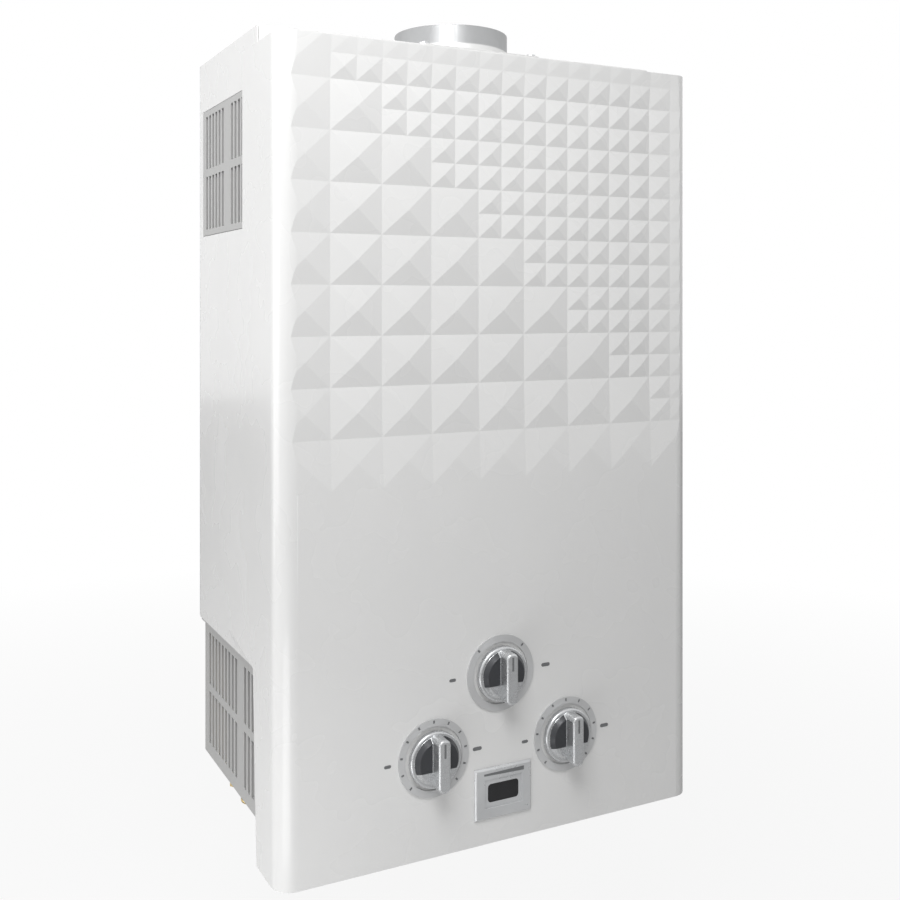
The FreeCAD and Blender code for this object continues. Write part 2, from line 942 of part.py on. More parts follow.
def core_frame(low, high):
    """A rectangular sheet tube standing round the flame path."""
    outer = box(-core_half, core_half, core_front, core_rear, low, high)
    t = core_sheet
    return outer.cut(box(-core_half + t, core_half - t, core_front + t, core_rear - t, low - 1, high + 1))


def burner_places():
    first = -(burner_count - 1) / 2 * burner_pitch
    return [first + index * burner_pitch for index in range(burner_count)]


def burner_rack():
    walls = core_frame(rack_low, chamber_low)
    floor = box(-core_half, core_half, core_front, core_rear, rack_low, rack_low + core_sheet)
    floor = floor.cut(box(
        -core_half + rack_lip, core_half - rack_lip,
        core_front + rack_lip, core_rear - rack_lip,
        rack_low - 1, rack_low + 2,
    ))
    rack = walls.fuse(floor).removeSplitter()
    window_half = burner_places()[-1] + burner_thickness / 2 + 1
    inlet = box(
        -window_half, window_half, core_front - 1, core_front + 2,
        rack_low + 4, manifold_z + manifold_height / 2,
    )
    rack = rack.cut([inlet] + [electrode_hole(x) for x in electrode_places()])
    tabs = []
    for x in (-core_half, core_half - core_sheet):
        tabs.append(box(
            x, x + core_sheet,
            manifold_rear, core_front,
            manifold_z - 8, manifold_z + 8,
        ))
    return join([rack] + tabs)


def burner_blade(x):
    """One hollow pressed blade: gas and air enter at the front, the flame leaves the slots on top."""
    low = rack_low + core_sheet
    front = core_front + core_sheet + 3
    rear = core_rear - core_sheet - 3
    left = x - burner_thickness / 2
    outline = [
        V(left, front, low), V(left, rear - blade_slope, low), V(left, rear, low + blade_slope),
        V(left, rear, burner_top), V(left, front, burner_top),
        V(left, front, low + 30), V(left, front - 2, low + 26), V(left, front - 2, low + 4),
    ]
    blade = prism(outline, V(burner_thickness, 0, 0))
    w = blade_wall
    inner_left = left + w
    inner_right = left + burner_thickness - w
    slope = blade_slope + w
    cuts = [
        rod(x, front - 4, manifold_z, Y_AXIS, burner_thickness / 2 - w, 10),
        box(inner_left, inner_right, front + w, rear - slope, low + w, burner_top - w),
        box(inner_left, inner_right, front + w, rear - w, low + slope, burner_top - w),
    ]
    run = (rear - front) / burner_ports
    for index in range(burner_ports):
        y = front + (index + 0.5) * run
        cuts.append(box(inner_left, inner_right, y - 1, y + 1, burner_top - 2 * w, burner_top + 1))
    return blade.cut(cuts)


def burner_blades():
    return Part.makeCompound([burner_blade(x) for x in burner_places()])


def gas_manifold():
    """A closed box along the burners' mouths, fed by the riser from the season valve."""
    t = manifold_wall
    low = manifold_z - manifold_height / 2
    high = manifold_z + manifold_height / 2
    middle = (manifold_front + manifold_rear) / 2
    outer = box(-core_half, core_half, manifold_front, manifold_rear, low, high)
    inner = box(
        -core_half + t, core_half - t,
        manifold_front + t, manifold_rear - t,
        low + t, high - t,
    )
    riser = rod(season_knob_x, middle, season_body_high, Z_AXIS, riser_radius, low - season_body_high)
    bore = rod(
        season_knob_x, middle, season_body_high - 1, Z_AXIS,
        riser_radius - riser_wall, low - season_body_high + t + 2,
    )
    mouths = [rod(x, manifold_rear - t - 1, manifold_z, Y_AXIS, nozzle_bore, t + 2) for x in burner_places()]
    return outer.fuse(riser).cut([inner, bore] + mouths)


def gas_nozzles():
    reach = manifold_stand
    nozzles = []
    for x in burner_places():
        nozzles.append(ring(x, manifold_rear, manifold_z, Y_AXIS, nozzle_radius, nozzle_bore, reach))
    return Part.makeCompound(nozzles)


def combustion_chamber():
    """A sheet tube whose corners follow the coil's bends, with a flange at each end."""
    t = core_sheet
    corner = bend_radius - coil_radius - coil_gap
    tube = rounded_block(-core_half, core_half, core_front, core_rear, chamber_low, fin_low, corner)
    hollow = rounded_block(
        -core_half + t, core_half - t, core_front + t, core_rear - t,
        chamber_low - 1, fin_low + 1, corner - t,
    )
    flanges = []
    for low in (chamber_low, fin_low - t):
        flanges.append(box(-core_half, core_half, core_front, core_rear, low, low + t))
    return join([tube] + flanges).cut(hollow)


def tube_ys():
    return [core_y + (index - (tube_runs - 1) / 2) * tube_pitch for index in range(tube_runs)]


def exchanger_casing():
    casing = core_frame(fin_low, fin_high)
    holes = [rod(-core_half - 1, y, tube_level, X_AXIS, tube_radius, 2 * core_half + 2) for y in tube_ys()]
    return casing.cut(holes)


def exchanger_fins():
    reach = core_half - core_sheet
    pitch = 2 * reach / (fin_count + 1)
    fins = []
    for index in range(1, fin_count + 1):
        x = -reach + index * pitch - fin_thickness / 2
        fin = box(
            x, x + fin_thickness,
            core_front + core_sheet, core_rear - core_sheet,
            fin_low, fin_high - 2,
        )
        holes = [rod(x - 1, y, tube_level, X_AXIS, tube_radius, fin_thickness + 2) for y in tube_ys()]
        fins.append(fin.cut(holes))
    return Part.makeCompound(fins)


def serpentine():
    """One tube that runs to and fro through the fins."""
    turn = core_half + tube_pitch / 2 + 4
    ys = tube_ys()
    end = riser_x - tube_radius - 1
    points = [V(end, ys[0], tube_level)]
    side = -1
    for y_now, y_next in zip(ys, ys[1:]):
        points.append(V(side * turn, y_now, tube_level))
        points.append(V(side * turn, y_next, tube_level))
        side = -side
    points.append(V(side * end, ys[-1], tube_level))
    return pipe(points, tube_pitch / 2, tube_radius, tube_wall)


def elbow(x, y, inward):
    """A block that turns the serpentine's end down into a pipe."""
    half = tube_radius + 1
    block = box(x - half, x + half, y - half, y + half, tube_level - half, tube_level + half)
    across = rod(x, y, tube_level, X_AXIS * inward, tube_radius - tube_wall, half + 1)
    down = rod(x, y, tube_level, Z_AXIS * -1, coil_radius - pipe_wall, half + 1)
    return block.cut([across, down])


def exchanger_tubes():
    ends = [elbow(riser_x, tube_ys()[0], -1), elbow(hot_x, tube_ys()[-1], 1)]
    return Part.makeCompound([serpentine()] + ends)


def chamber_coil():
    """The cooling tube: up from the cold pipe, round the chamber, then up to the exchanger."""
    side = core_half + coil_gap + coil_radius
    front = core_front - coil_gap - coil_radius
    rear = core_rear + coil_gap + coil_radius
    points = [V(riser_x, cold_riser_y, union_level), V(riser_x, cold_riser_y, coil_low)]
    points.append(V(riser_x, front, coil_low))
    for turn in range(coil_turns):
        level = coil_low + turn * coil_climb
        if turn > 0:
            points.append(V(side, front, level))
        points.append(V(-side, front, level))
        points.append(V(-side, rear, level))
        last = turn == coil_turns - 1
        points.append(V(riser_x if last else side, rear, level))
    level = coil_low + (coil_turns - 1) * coil_climb
    points.append(V(riser_x, tube_ys()[0], level))
    points.append(V(riser_x, tube_ys()[0], tube_level - tube_radius - 1))
    return pipe(points, bend_radius, coil_radius, pipe_wall)


def core_brackets():
    """Ledges on the back plate: one pair between the coil's turns, one pair at the burner rack."""
    brackets = []
    for level in (coil_low + 1.5 * coil_climb, (rack_low + chamber_low) / 2):
        for x in (-bracket_spread, bracket_spread):
            left = x - bracket_half
            right = x + bracket_half
            ledge = box(left, right, core_rear, -back_sheet, level, level + bracket_sheet)
            foot = box(left, right, -back_sheet - bracket_sheet, -back_sheet, level, level + bracket_half)
            brackets.append(join([ledge, foot]))
    return Part.makeCompound(brackets)


def electrode_places():
    return (-burner_pitch, burner_pitch)


def electrode_hole(x):
    return rod(x, core_front - 1, electrode_level, Y_AXIS, ceramic_radius, core_sheet + 2)


def electrode(x):
    """A ceramic sleeve through the rack's front wall, its wire ending over the blades."""
    start = core_front - ceramic_length * 0.6
    tip_y = start + ceramic_length
    sleeve = rod(x, start, electrode_level, Y_AXIS, ceramic_radius, ceramic_length)
    collar = rod(x, core_front - 3, electrode_level, Y_AXIS, ceramic_radius + 2, 3)
    wire_end = rod(x, start - 5, electrode_level, Y_AXIS, electrode_wire, 5)
    bend = V(x, tip_y + 6, electrode_level)
    tip = swept([V(x, tip_y, electrode_level), bend, V(x, tip_y + 10, burner_top + 2)], 2.5, electrode_wire)
    return sleeve.fuse([collar, wire_end, tip])


def electrodes():
    """The spark electrode on the left and the flame sensor on the right."""
    return Part.makeCompound([electrode(x) for x in electrode_places()])


def overheat_cutout():
    """A snap disc screwed to the front of the exchanger casing."""
    x = bracket_spread
    disc = rod(x, core_front, tube_level, Y_AXIS * -1, 8, 6)
    blades = []
    for shift in (-4, 4):
        blades.append(box(
            x + shift - 1.5, x + shift + 1.5,
            core_front - 14, core_front - 6,
            tube_level - 0.4, tube_level + 0.4,
        ))
    return disc.fuse(blades)


# Gas train


def spindle_bore(x, z, front):
    return rod(x, front - 1, z, Y_AXIS, spindle_radius + spindle_clearance, spindle_depth + 2)


def spindle(x, z, front):
    """A control spindle from its bore to the knob, with a collar in front of the boss and a flat."""
    tip = face_y - dial_thickness - knob_gap - knob_base - 8
    shaft = rod(x, tip, z, Y_AXIS, spindle_radius, front + spindle_depth - tip)
    collar = rod(x, front - knob_gap, z, Y_AXIS * -1, spindle_collar, spindle_collar_length)
    flat = box(
        x - spindle_radius - 1, x + spindle_radius + 1,
        tip - 1, tip + knob_base + 8,
        z + spindle_radius - spindle_flat, z + spindle_radius + 1,
    )
    return shaft.fuse(collar).cut(flat)


def gas_spindle():
    return spindle(gas_knob_x, gas_knob_z, valve_boss_y)


def water_spindle():
    return spindle(water_knob_x, water_knob_z, valve_boss_y)


def season_spindle():
    return spindle(season_knob_x, season_knob_z, -season_body_front)


def cast_block(left, right, low, high):
    return rounded_block(left, right, -valve_front, -valve_rear, low, high, valve_corner)


def gas_valve_body():
    """The knob's boss is in front, the poppet's chamber on the right, the inlet below."""
    body = cast_block(gas_body_left, gas_body_right, gas_body_low, gas_body_high)
    boss = rod(gas_knob_x, valve_boss_y, gas_knob_z, Y_AXIS, boss_radius, boss_length + 5)
    chamber = rod(gas_body_right + 1, rod_y, rod_z, X_AXIS * -1, poppet_bore, poppet_bore_depth + 1)
    solenoid_seat = rod(
        gas_body_left - 1, rod_y, rod_z, X_AXIS,
        plunger_radius + plunger_play, plunger_length / 2 + plunger_travel + 2,
    )
    inlet = rod(gas_knob_x, nipple_y, gas_body_low - 1, Z_AXIS, nipple_bore, 20)
    spindle_hole_cut = spindle_bore(gas_knob_x, gas_knob_z, valve_boss_y)
    return body.fuse(boss).cut([chamber, solenoid_seat, inlet, spindle_hole_cut])


def valve_bonnet():
    """The cover of the poppet's chamber, and the seat of the rod's return spring."""
    return ring(
        gas_body_right, rod_y, rod_z, X_AXIS,
        bonnet_radius, rod_radius + 1, bonnet_thickness,
    )


def season_valve_body():
    """The gas distributor between the gas valve and the riser, on a foot over the gas valve."""
    left = season_knob_x - season_body_half
    right = season_knob_x + season_body_half
    body = box(left, right, -season_body_front, -season_body_rear, season_body_low, season_body_high)
    foot = box(
        gas_knob_x, right,
        -valve_front + valve_corner, -season_body_rear,
        gas_body_high, season_body_low + 6,
    )
    outlet = rod(
        season_knob_x, (manifold_front + manifold_rear) / 2, season_body_high + 1, Z_AXIS * -1,
        riser_radius - riser_wall, 9,
    )
    bore = spindle_bore(season_knob_x, season_knob_z, -season_body_front)
    return body.fuse(foot).removeSplitter().cut([outlet, bore])


def gas_poppet():
    """A disc on a stem in the gas valve's chamber, opened by the push rod."""
    face = gas_body_right - poppet_seat_depth
    guide_length = poppet_seat_depth / 2
    disc = rod(face, rod_y, rod_z, X_AXIS * -1, poppet_radius, poppet_thickness)
    guide_radius = poppet_bore - spindle_clearance
    guide = ring(face, rod_y, rod_z, X_AXIS, guide_radius, poppet_bore - 1.5, guide_length)
    stem = rod(face, rod_y, rod_z, X_AXIS, poppet_stem, rod_tip - rod_play - face)
    spokes = []
    for turn in range(3):
        spoke = box(face, face + guide_length, rod_y - 1, rod_y + 1, rod_z, rod_z + poppet_bore - 1)
        spoke.rotate(V(face, rod_y, rod_z), X_AXIS, 120 * turn)
        spokes.append(spoke)
    return join([disc, guide, stem] + spokes)


def solenoid_coil():
    """The safety solenoid's can on the gas valve's left side."""
    left = gas_body_left - solenoid_length
    can = rod(left, rod_y, rod_z, X_AXIS, solenoid_radius, solenoid_length)
    bore = rod(
        gas_body_left + 1, rod_y, rod_z, X_AXIS * -1,
        plunger_radius + plunger_play, plunger_length / 2 + plunger_travel + 2,
    )
    lug_low = rod_z + solenoid_radius - 1
    lug = box(left + 4, left + 14, rod_y - 3, rod_y + 3, lug_low, lug_low + 6)
    return can.fuse(lug).cut(bore)


def solenoid_plunger():
    return rod(gas_body_left - plunger_length / 2, rod_y, rod_z, X_AXIS, plunger_radius, plunger_length)


# Water train


def water_out_x():
    return water_knob_x + water_out_offset


def water_valve_body():
    """The flow control, with the wet half of the diaphragm case on its left."""
    body = cast_block(
        water_body_left + water_flange / 2, water_body_right,
        water_body_low, water_body_high,
    )
    flange = rod(water_body_left, rod_y, rod_z, X_AXIS, diaphragm_radius, water_flange)
    boss = rod(water_knob_x, valve_boss_y, water_knob_z, Y_AXIS, boss_radius, boss_length + 5)
    space = rod(
        water_body_left - 1, rod_y, rod_z, X_AXIS,
        diaphragm_radius - diaphragm_rim, water_flange / 2 + 1,
    )
    inlet = rod(water_knob_x, nipple_y, water_body_low - 1, Z_AXIS, nipple_bore, 25)
    outlet = rod(
        water_out_x(), cold_riser_y, water_body_high + 1, Z_AXIS * -1,
        pipe_radius - pipe_wall, 20,
    )
    w = valve_wall
    waterway = box(
        water_body_left + w, water_body_right - w,
        cold_riser_y, -valve_rear - w,
        water_body_low + w, water_body_high - w,
    )
    drain = rod(drain_x, drain_y, water_body_low - 1, Z_AXIS, drain_shank, drain_shank_length + 2)
    bore = spindle_bore(water_knob_x, water_knob_z, valve_boss_y)
    return body.fuse([flange, boss]).cut([space, inlet, waterway, outlet, drain, bore])


def water_valve_cap():
    """The dry side of the diaphragm case, with the rod's guide in its boss."""
    length = cap_boss + cap_thickness
    cap = rod(cap_left, rod_y, rod_z, X_AXIS, diaphragm_radius, cap_thickness)
    boss = rod(cap_left - cap_boss, rod_y, rod_z, X_AXIS, rod_radius + 3, cap_boss + 2)
    hollow = rod(
        cap_left + cap_thickness + 1, rod_y, rod_z, X_AXIS * -1,
        diaphragm_radius - diaphragm_rim, cap_recess + 1,
    )
    guide = rod(
        cap_left - cap_boss - 1, rod_y, rod_z, X_AXIS,
        rod_radius + spindle_clearance, length + 2,
    )
    return cap.fuse(boss).cut([hollow, guide])


def diaphragm():
    return rod(
        water_body_left - diaphragm_thickness, rod_y, rod_z, X_AXIS,
        diaphragm_radius, diaphragm_thickness,
    )


def push_rod():
    """The pressure plate, the rod, and the collar that carries the return spring and the switch."""
    face = water_body_left - diaphragm_thickness - rod_play
    plate = rod(face, rod_y, rod_z, X_AXIS * -1, plate_radius, plate_thickness)
    shaft = rod(rod_tip, rod_y, rod_z, X_AXIS, rod_radius, face - rod_tip)
    collar = rod(rod_collar, rod_y, rod_z, X_AXIS, rod_collar_radius, rod_collar_length)
    return join([plate, shaft, collar])


def return_spring():
    """Between the valve's bonnet and the rod's collar."""
    start = gas_body_right + bonnet_thickness + rod_play
    length = rod_collar - rod_play - start
    return wire_coil(V(start, rod_y, rod_z), spring_radius, spring_wire, spring_turns, length)


def microswitch():
    """Below the rod on a foot that reaches the gas valve's side, with two ears for the lever's pin."""
    right = cap_left - 3
    left = right - switch_body_length
    high = switch_low + switch_body_height
    half = switch_width / 2
    body = box(left, right, rod_y - half, rod_y + half, switch_low, high)
    foot = box(gas_body_right, left + 2, rod_y - half, rod_y + half, high - 3, high)
    pin = rod(lever_x, rod_y - half, lever_z, Y_AXIS, lever_pin_radius, switch_width)
    parts = [body, foot, pin]
    for start in (rod_y - half, rod_y + half - switch_ear):
        parts.append(box(lever_x - 2.5, lever_x + 2.5, start, start + switch_ear, high - 1, lever_z + 2))
    for shift in (3, 9, 15):
        x = left + shift
        parts.append(box(x, x + 2.8, rod_y - 0.4, rod_y + 0.4, switch_low - 6, switch_low))
    return join(parts)


def switch_lever():
    """A leaf on a cross pin: the rod's collar pushes its tip."""
    width = switch_width - 2 * (switch_ear + rod_play)
    knuckle = rod(lever_x, rod_y - width / 2, lever_z, Y_AXIS, lever_knuckle, width)
    leaf = box(
        lever_x - lever_sheet / 2, lever_x + lever_sheet / 2,
        rod_y - width / 2, rod_y + width / 2,
        lever_z, lever_z + lever_arm + lever_tip,
    )
    bore = rod(lever_x, rod_y - width, lever_z, Y_AXIS, lever_pin_radius + spindle_clearance, 2 * width)
    return knuckle.fuse(leaf).cut(bore)


# Connections


def nipple(x, top):
    """A threaded connection: its shank passes the floor between a hexagon above and a lock nut below."""
    shank_low = housing_bottom - lock_nut_height
    thread_low = shank_low - thread_drop
    thread = rod(x, nipple_y, thread_low, Z_AXIS, thread_radius, thread_drop)
    shank = rod(x, nipple_y, shank_low, Z_AXIS, shank_radius, floor_top - shank_low)
    nut = hexagon(x, nipple_y, floor_top, nipple_hex, nipple_hex_height)
    neck = rod(x, nipple_y, floor_top, Z_AXIS, neck_radius, top - floor_top)
    bore = rod(x, nipple_y, thread_low - 1, Z_AXIS, nipple_bore, top - thread_low + 2)
    return join([thread, shank, nut, neck]).cut(bore)


def gas_nipple():
    return nipple(gas_knob_x, gas_body_low)


def cold_nipple():
    return nipple(water_knob_x, water_body_low)


def hot_nipple():
    return nipple(hot_x, water_body_high)


def inlet_filter():
    """A cup of perforated sheet in the cold inlet's mouth."""
    low = water_body_low - filter_length
    inner = filter_radius - filter_wall
    cup = rod(water_knob_x, nipple_y, low, Z_AXIS, filter_radius, filter_length)
    cup = cup.cut(rod(water_knob_x, nipple_y, low + 1, Z_AXIS, inner, filter_length))
    flange = ring(water_knob_x, nipple_y, water_body_low - 1, Z_AXIS, nipple_bore, inner, 1)
    holes = []
    for level in range(4):
        for turn in range(3):
            hole = rod(water_knob_x - 10, nipple_y, low + 4 + 4.5 * level, X_AXIS, 1.2, 20)
            hole.rotate(V(water_knob_x, nipple_y, 0), Z_AXIS, 60 * turn)
            holes.append(hole)
    return cup.fuse(flange).removeSplitter().cut(holes)


def cold_pipe():
    points = [
        V(water_out_x(), cold_riser_y, water_body_high),
        V(water_out_x(), cold_riser_y, cold_cross_level),
        V(riser_x, cold_riser_y, cold_cross_level),
        V(riser_x, cold_riser_y, union_level),
    ]
    return pipe(points, bend_radius, pipe_radius, pipe_wall)


def hot_pipe():
    rear = tube_ys()[-1]
    points = [
        V(hot_x, nipple_y, water_body_high), V(hot_x, nipple_y, water_body_high + hot_offset_low),
        V(hot_x, rear, water_body_high + hot_offset_high), V(hot_x, rear, tube_level - tube_radius - 1),
    ]
    return pipe(points, 3 * bend_radius, pipe_radius, pipe_wall)


def nut(x, y, low, across, bore, height):
    return hexagon(x, y, low, across, height).cut(rod(x, y, low - 1, Z_AXIS, bore, height + 2))


def pipe_nuts():
    """Lock nuts under the floor, and union nuts at the pipes' ends."""
    nuts = []
    for x in (hot_x, gas_knob_x, water_knob_x):
        low = housing_bottom - lock_nut_height
        nuts.append(nut(x, nipple_y, low, nipple_hex, shank_radius + spindle_clearance, lock_nut_height))
    across = 2 * (pipe_radius + union_nut_rim)
    ends = [
        (water_out_x(), cold_riser_y, water_body_high),
        (riser_x, cold_riser_y, union_level - union_nut_height),
        (hot_x, nipple_y, water_body_high),
    ]
    for x, y, low in ends:
        nuts.append(nut(x, y, low, across, pipe_radius, union_nut_height))
    return Part.makeCompound(nuts)


def drain_plug():
    """A winged plug under the water valve that also relieves excess pressure."""
    low = housing_bottom - 8
    shank = rod(drain_x, drain_y, low, Z_AXIS, drain_shank, water_body_low + drain_shank_length - low)
    collar = rod(drain_x, drain_y, water_body_low, Z_AXIS * -1, drain_head, 4)
    wing = box(drain_x - drain_head, drain_x + drain_head, drain_y - 1.5, drain_y + 1.5, low - 8, low + 4)
    return join([shank, collar, wing])


# Knobs and dials


def knob_grip(x, z, back):
    """The bar across the cap, with rounded ends and a rounded crest."""
    grip = box(
        x - grip_width / 2, x + grip_width / 2,
        back - knob_length, back - knob_base,
        z - knob_radius + 1.5, z + knob_radius - 1.5,
    )
    ends = [edge for edge in grip.Edges if edge.BoundBox.YLength > knob_base]
    grip = grip.makeFillet(grip_width / 2 - 0.6, ends)
    crest = [edge for edge in grip.Edges if abs(edge.BoundBox.YMax - (back - knob_length)) < 1e-6]
    return grip.makeFillet(1.6, crest)


def knob(x, z):
    """A skirted cap with a grip bar across it and a hub bored for the spindle's flat."""
    back = face_y - dial_thickness - knob_gap
    skirt = rod(x, back, z, Y_AXIS * -1, knob_radius, knob_base)
    rim = [edge for edge in skirt.Edges if abs(edge.BoundBox.YMax - (back - knob_base)) < 1e-6]
    skirt = skirt.makeFillet(1.5, rim)
    dome = Part.makeCone(knob_radius - 2.5, knob_radius - 5, 3.5, V(x, back - knob_base, z), Y_AXIS * -1)
    cup = rod(x, back + 1, z, Y_AXIS * -1, knob_radius - knob_wall, knob_base - knob_wall + 1)
    hub = rod(x, back, z, Y_AXIS * -1, spindle_radius + 2.5, knob_base)
    bore = rod(x, back + 1, z, Y_AXIS * -1, spindle_radius, knob_base + 9)
    flat = box(
        x - spindle_radius - 1, x + spindle_radius + 1,
        back - knob_base - 9, back + 2,
        z + spindle_radius - spindle_flat, z + spindle_radius + 1,
    )
    body = skirt.fuse([dome, knob_grip(x, z, back)]).cut(cup)
    return body.fuse(hub).cut(bore.cut(flat))


def gas_knob():
    return knob(gas_knob_x, gas_knob_z)


def water_knob():
    return knob(water_knob_x, water_knob_z)


def season_knob():
    return knob(season_knob_x, season_knob_z)


def dial(x, z, sweep, ticks):
    """A flat ring on the cover's face with a row of engraved marks over the knob's swing."""
    plate = ring(x, face_y, z, Y_AXIS * -1, dial_outer, dial_inner, dial_thickness)
    marks = []
    for index in range(ticks):
        mark = box(
            x - tick_width / 2, x + tick_width / 2,
            face_y - dial_thickness - 1, face_y - dial_thickness + tick_depth,
            z + dial_outer - tick_length - 1, z + dial_outer - 1,
        )
        mark.rotate(V(x, 0, z), Y_AXIS, -sweep / 2 + index * sweep / (ticks - 1))
        marks.append(mark)
    return plate.cut(marks)


def knob_dials():
    return Part.makeCompound([
        dial(gas_knob_x, gas_knob_z, knob_sweep, 11),
        dial(water_knob_x, water_knob_z, knob_sweep, 11),
        dial(season_knob_x, season_knob_z, season_sweep, 2),
    ])


# Display


def display_box(inset, front, rear):
    """A box on the display's axis, its sides set in from the bezel's outline."""
    half_w = bezel_width / 2 - inset
    half_h = bezel_height / 2 - inset
    return box(display_x - half_w, display_x + half_w, front, rear, display_z - half_h, display_z + half_h)


def socket_inset():
    return bezel_rim - socket_overlap + bezel_fit


def display_bezel():
    """A frame on the face whose socket passes through the cover and holds the lens."""
    frame = display_box(0, face_y - bezel_proud, face_y)
    rim = [edge for edge in frame.Edges if abs(edge.BoundBox.YMax - (face_y - bezel_proud)) < 1e-6]
    frame = frame.makeChamfer(bezel_proud * 0.6, rim)
    socket = display_box(socket_inset(), face_y, face_y + board_stand)
    window = display_box(bezel_rim, face_y - 5, face_y + 20)
    rebate = display_box(socket_inset() + socket_wall, face_y - bezel_proud / 2, face_y + 20)
    return frame.fuse(socket).cut([window, rebate])


def display_lens():
    front = face_y - bezel_proud / 2
    return display_box(socket_inset() + socket_wall + lens_gap, front, front + lens_thickness)


def display_board():
    """The circuit board on the socket's rear edge, with the display glass on it and a plug behind."""
    rear = face_y + board_stand
    board = display_box(socket_inset() - 3, rear, rear + board_thickness)
    glass = display_box(socket_inset() + 2 * socket_wall, rear - 3, rear)
    plug = box(
        display_x - 6, display_x + 6,
        rear + board_thickness, rear + board_thickness + 5,
        display_z - 3, display_z + 3,
    )
    return board.fuse([glass, plug])


# Battery case


def battery_inner():
    """Left, right, front and rear of the space for the cells."""
    left = battery_left + battery_wall
    front = -battery_front + battery_wall
    right = left + 4 * cell_radius + 3 * cell_gap
    return left, right, front, front + cell_length + battery_spring_space


def battery_opening():
    left, right, front, rear = battery_inner()
    return box(left, right, front, rear, housing_bottom - 1, floor_top + 1)


def lid_top():
    return housing_bottom - lid_gap


def cell_level():
    return lid_top() + seam_gap + cell_radius


def lid_pin_y():
    return battery_inner()[3] - lid_knuckle - lid_gap


def lid_pin_z():
    return lid_top() - lid_thickness + lid_knuckle - 0.6


def battery_box():
    """Open below, on the floor panel, with two hinge ears that hang behind the opening."""
    left, right, front, rear = battery_inner()
    w = battery_wall
    top = cell_level() + cell_radius + seam_gap
    outer = box(left - w, right + w, front - w, rear + w, floor_top, top + w)
    case = outer.cut(box(left, right, front, rear, floor_top - 1, top))
    ears = []
    for x in (left, right - lid_ear):
        ears.append(box(
            x, x + lid_ear, lid_pin_y() - lid_knuckle, rear,
            lid_pin_z() - lid_knuckle, floor_top + 2 * lid_ear,
        ))
    pin_hole = rod(left - 1, lid_pin_y(), lid_pin_z(), X_AXIS, lid_pin_radius, right - left + 2)
    return join([case] + ears).cut(pin_hole)


def lid_pin():
    left, right = battery_inner()[:2]
    return rod(left, lid_pin_y(), lid_pin_z(), X_AXIS, lid_pin_radius, right - left)


def battery_lid():
    """A flap under the floor that swings down about the pin behind it, with a finger tongue."""
    left, right, front = battery_inner()[:3]
    middle = (left + right) / 2
    top = lid_top()
    low = top - lid_thickness
    y = lid_pin_y()
    z = lid_pin_z()
    plate = box(left + lid_gap, right - lid_gap, front - 4, y, low, top)
    inner_left = left + lid_ear + lid_gap
    inner_right = right - lid_ear - lid_gap
    knuckle = rod(inner_left, y, z, X_AXIS, lid_knuckle - 0.6, inner_right - inner_left)
    swing = lid_knuckle * math.sqrt(2) + 0.5
    clear_ears = [
        box(left, inner_left, y - swing, y + swing, low - 1, top + 1),
        box(inner_right, right, y - swing, y + swing, low - 1, top + 1),
    ]
    tongue = box(middle - 10, middle + 10, front - 4, front - 2, low - 4, low)
    bore = rod(left, y, z, X_AXIS, lid_pin_radius + spindle_clearance, right - left)
    return join([plate, knuckle, tongue]).cut([bore] + clear_ears)


def cell_places():
    first = battery_inner()[0] + cell_gap + cell_radius
    return [first, first + 2 * cell_radius + cell_gap]


def batteries():
    """Two cells side by side, tips opposite ways."""
    start = battery_inner()[2] + contact_sheet
    can_length = cell_length - cell_tip
    left_x, right_x = cell_places()
    cells = []
    for x, tip_y, can_y in ((left_x, start, start + cell_tip), (right_x, start + can_length, start)):
        can = rod(x, can_y, cell_level(), Y_AXIS, cell_radius, can_length)
        cells.append(can.fuse(rod(x, tip_y, cell_level(), Y_AXIS, 4.75, cell_tip)))
    return Part.makeCompound(cells)


def battery_contacts():
    """A plate at each end of each cell, and a spring on each rear plate."""
    front, rear = battery_inner()[2:]
    level = cell_level()
    half = contact_half
    start = front + contact_sheet + cell_length
    pieces = []
    for x in cell_places():
        for y in (front, rear - contact_sheet):
            pieces.append(box(x - half, x + half, y, y + contact_sheet, level - half, level + half))
        spring = wire_coil(V(0, 0, 0), spring_radius, spring_wire, 2, rear - contact_sheet - start)
        spring.rotate(V(0, 0, 0), Z_AXIS, 90)
        spring.translate(V(x, start, level))
        pieces.append(spring)
    return Part.makeCompound(pieces)


# Igniter and screws


def igniter_box():
    """The pulse igniter on the back plate, with its lead sockets above."""
    left = floor_x - igniter_margin - igniter_width
    top = igniter_low + igniter_height
    case = box(
        left, left + igniter_width,
        -back_sheet - igniter_depth, -back_sheet,
        igniter_low, top,
    )
    case = case.makeFillet(3, [edge for edge in case.Edges if edge.BoundBox.YLength > igniter_depth - 1])
    sockets = []
    for index in range(3):
        x = left + igniter_width / 2 + (index - 1) * 20
        sockets.append(rod(x, -back_sheet - igniter_depth / 2, top - 1, Z_AXIS, 4, 9))
    return join([case] + sockets)


def screws():
    """The cover's screws, the side panels' screws from inside, and the collar's screws."""
    group = []
    for x, y, z, axis in cover_screw_places():
        group.append(screw(x, y, z, axis, 2 * cover_sheet + screw_length))
    for x, y, z in panel_screw_places():
        one = screw(x, y, z, Y_AXIS * -1, housing_sheet + back_sheet)
        group += [one, mirrored(one)]
    for x, y in collar_screw_places():
        group.append(screw(x, y, housing_top + collar_sheet, Z_AXIS, screw_length))
    return Part.makeCompound(group)


def left_side_panel():
    return mirrored(right_side_panel())


def both_sides(shape):
    return Part.makeCompound([shape, mirrored(shape)])


def upper_side_grilles():
    return both_sides(upper_right_grille())


def lower_side_grilles():
    return both_sides(lower_right_grille())


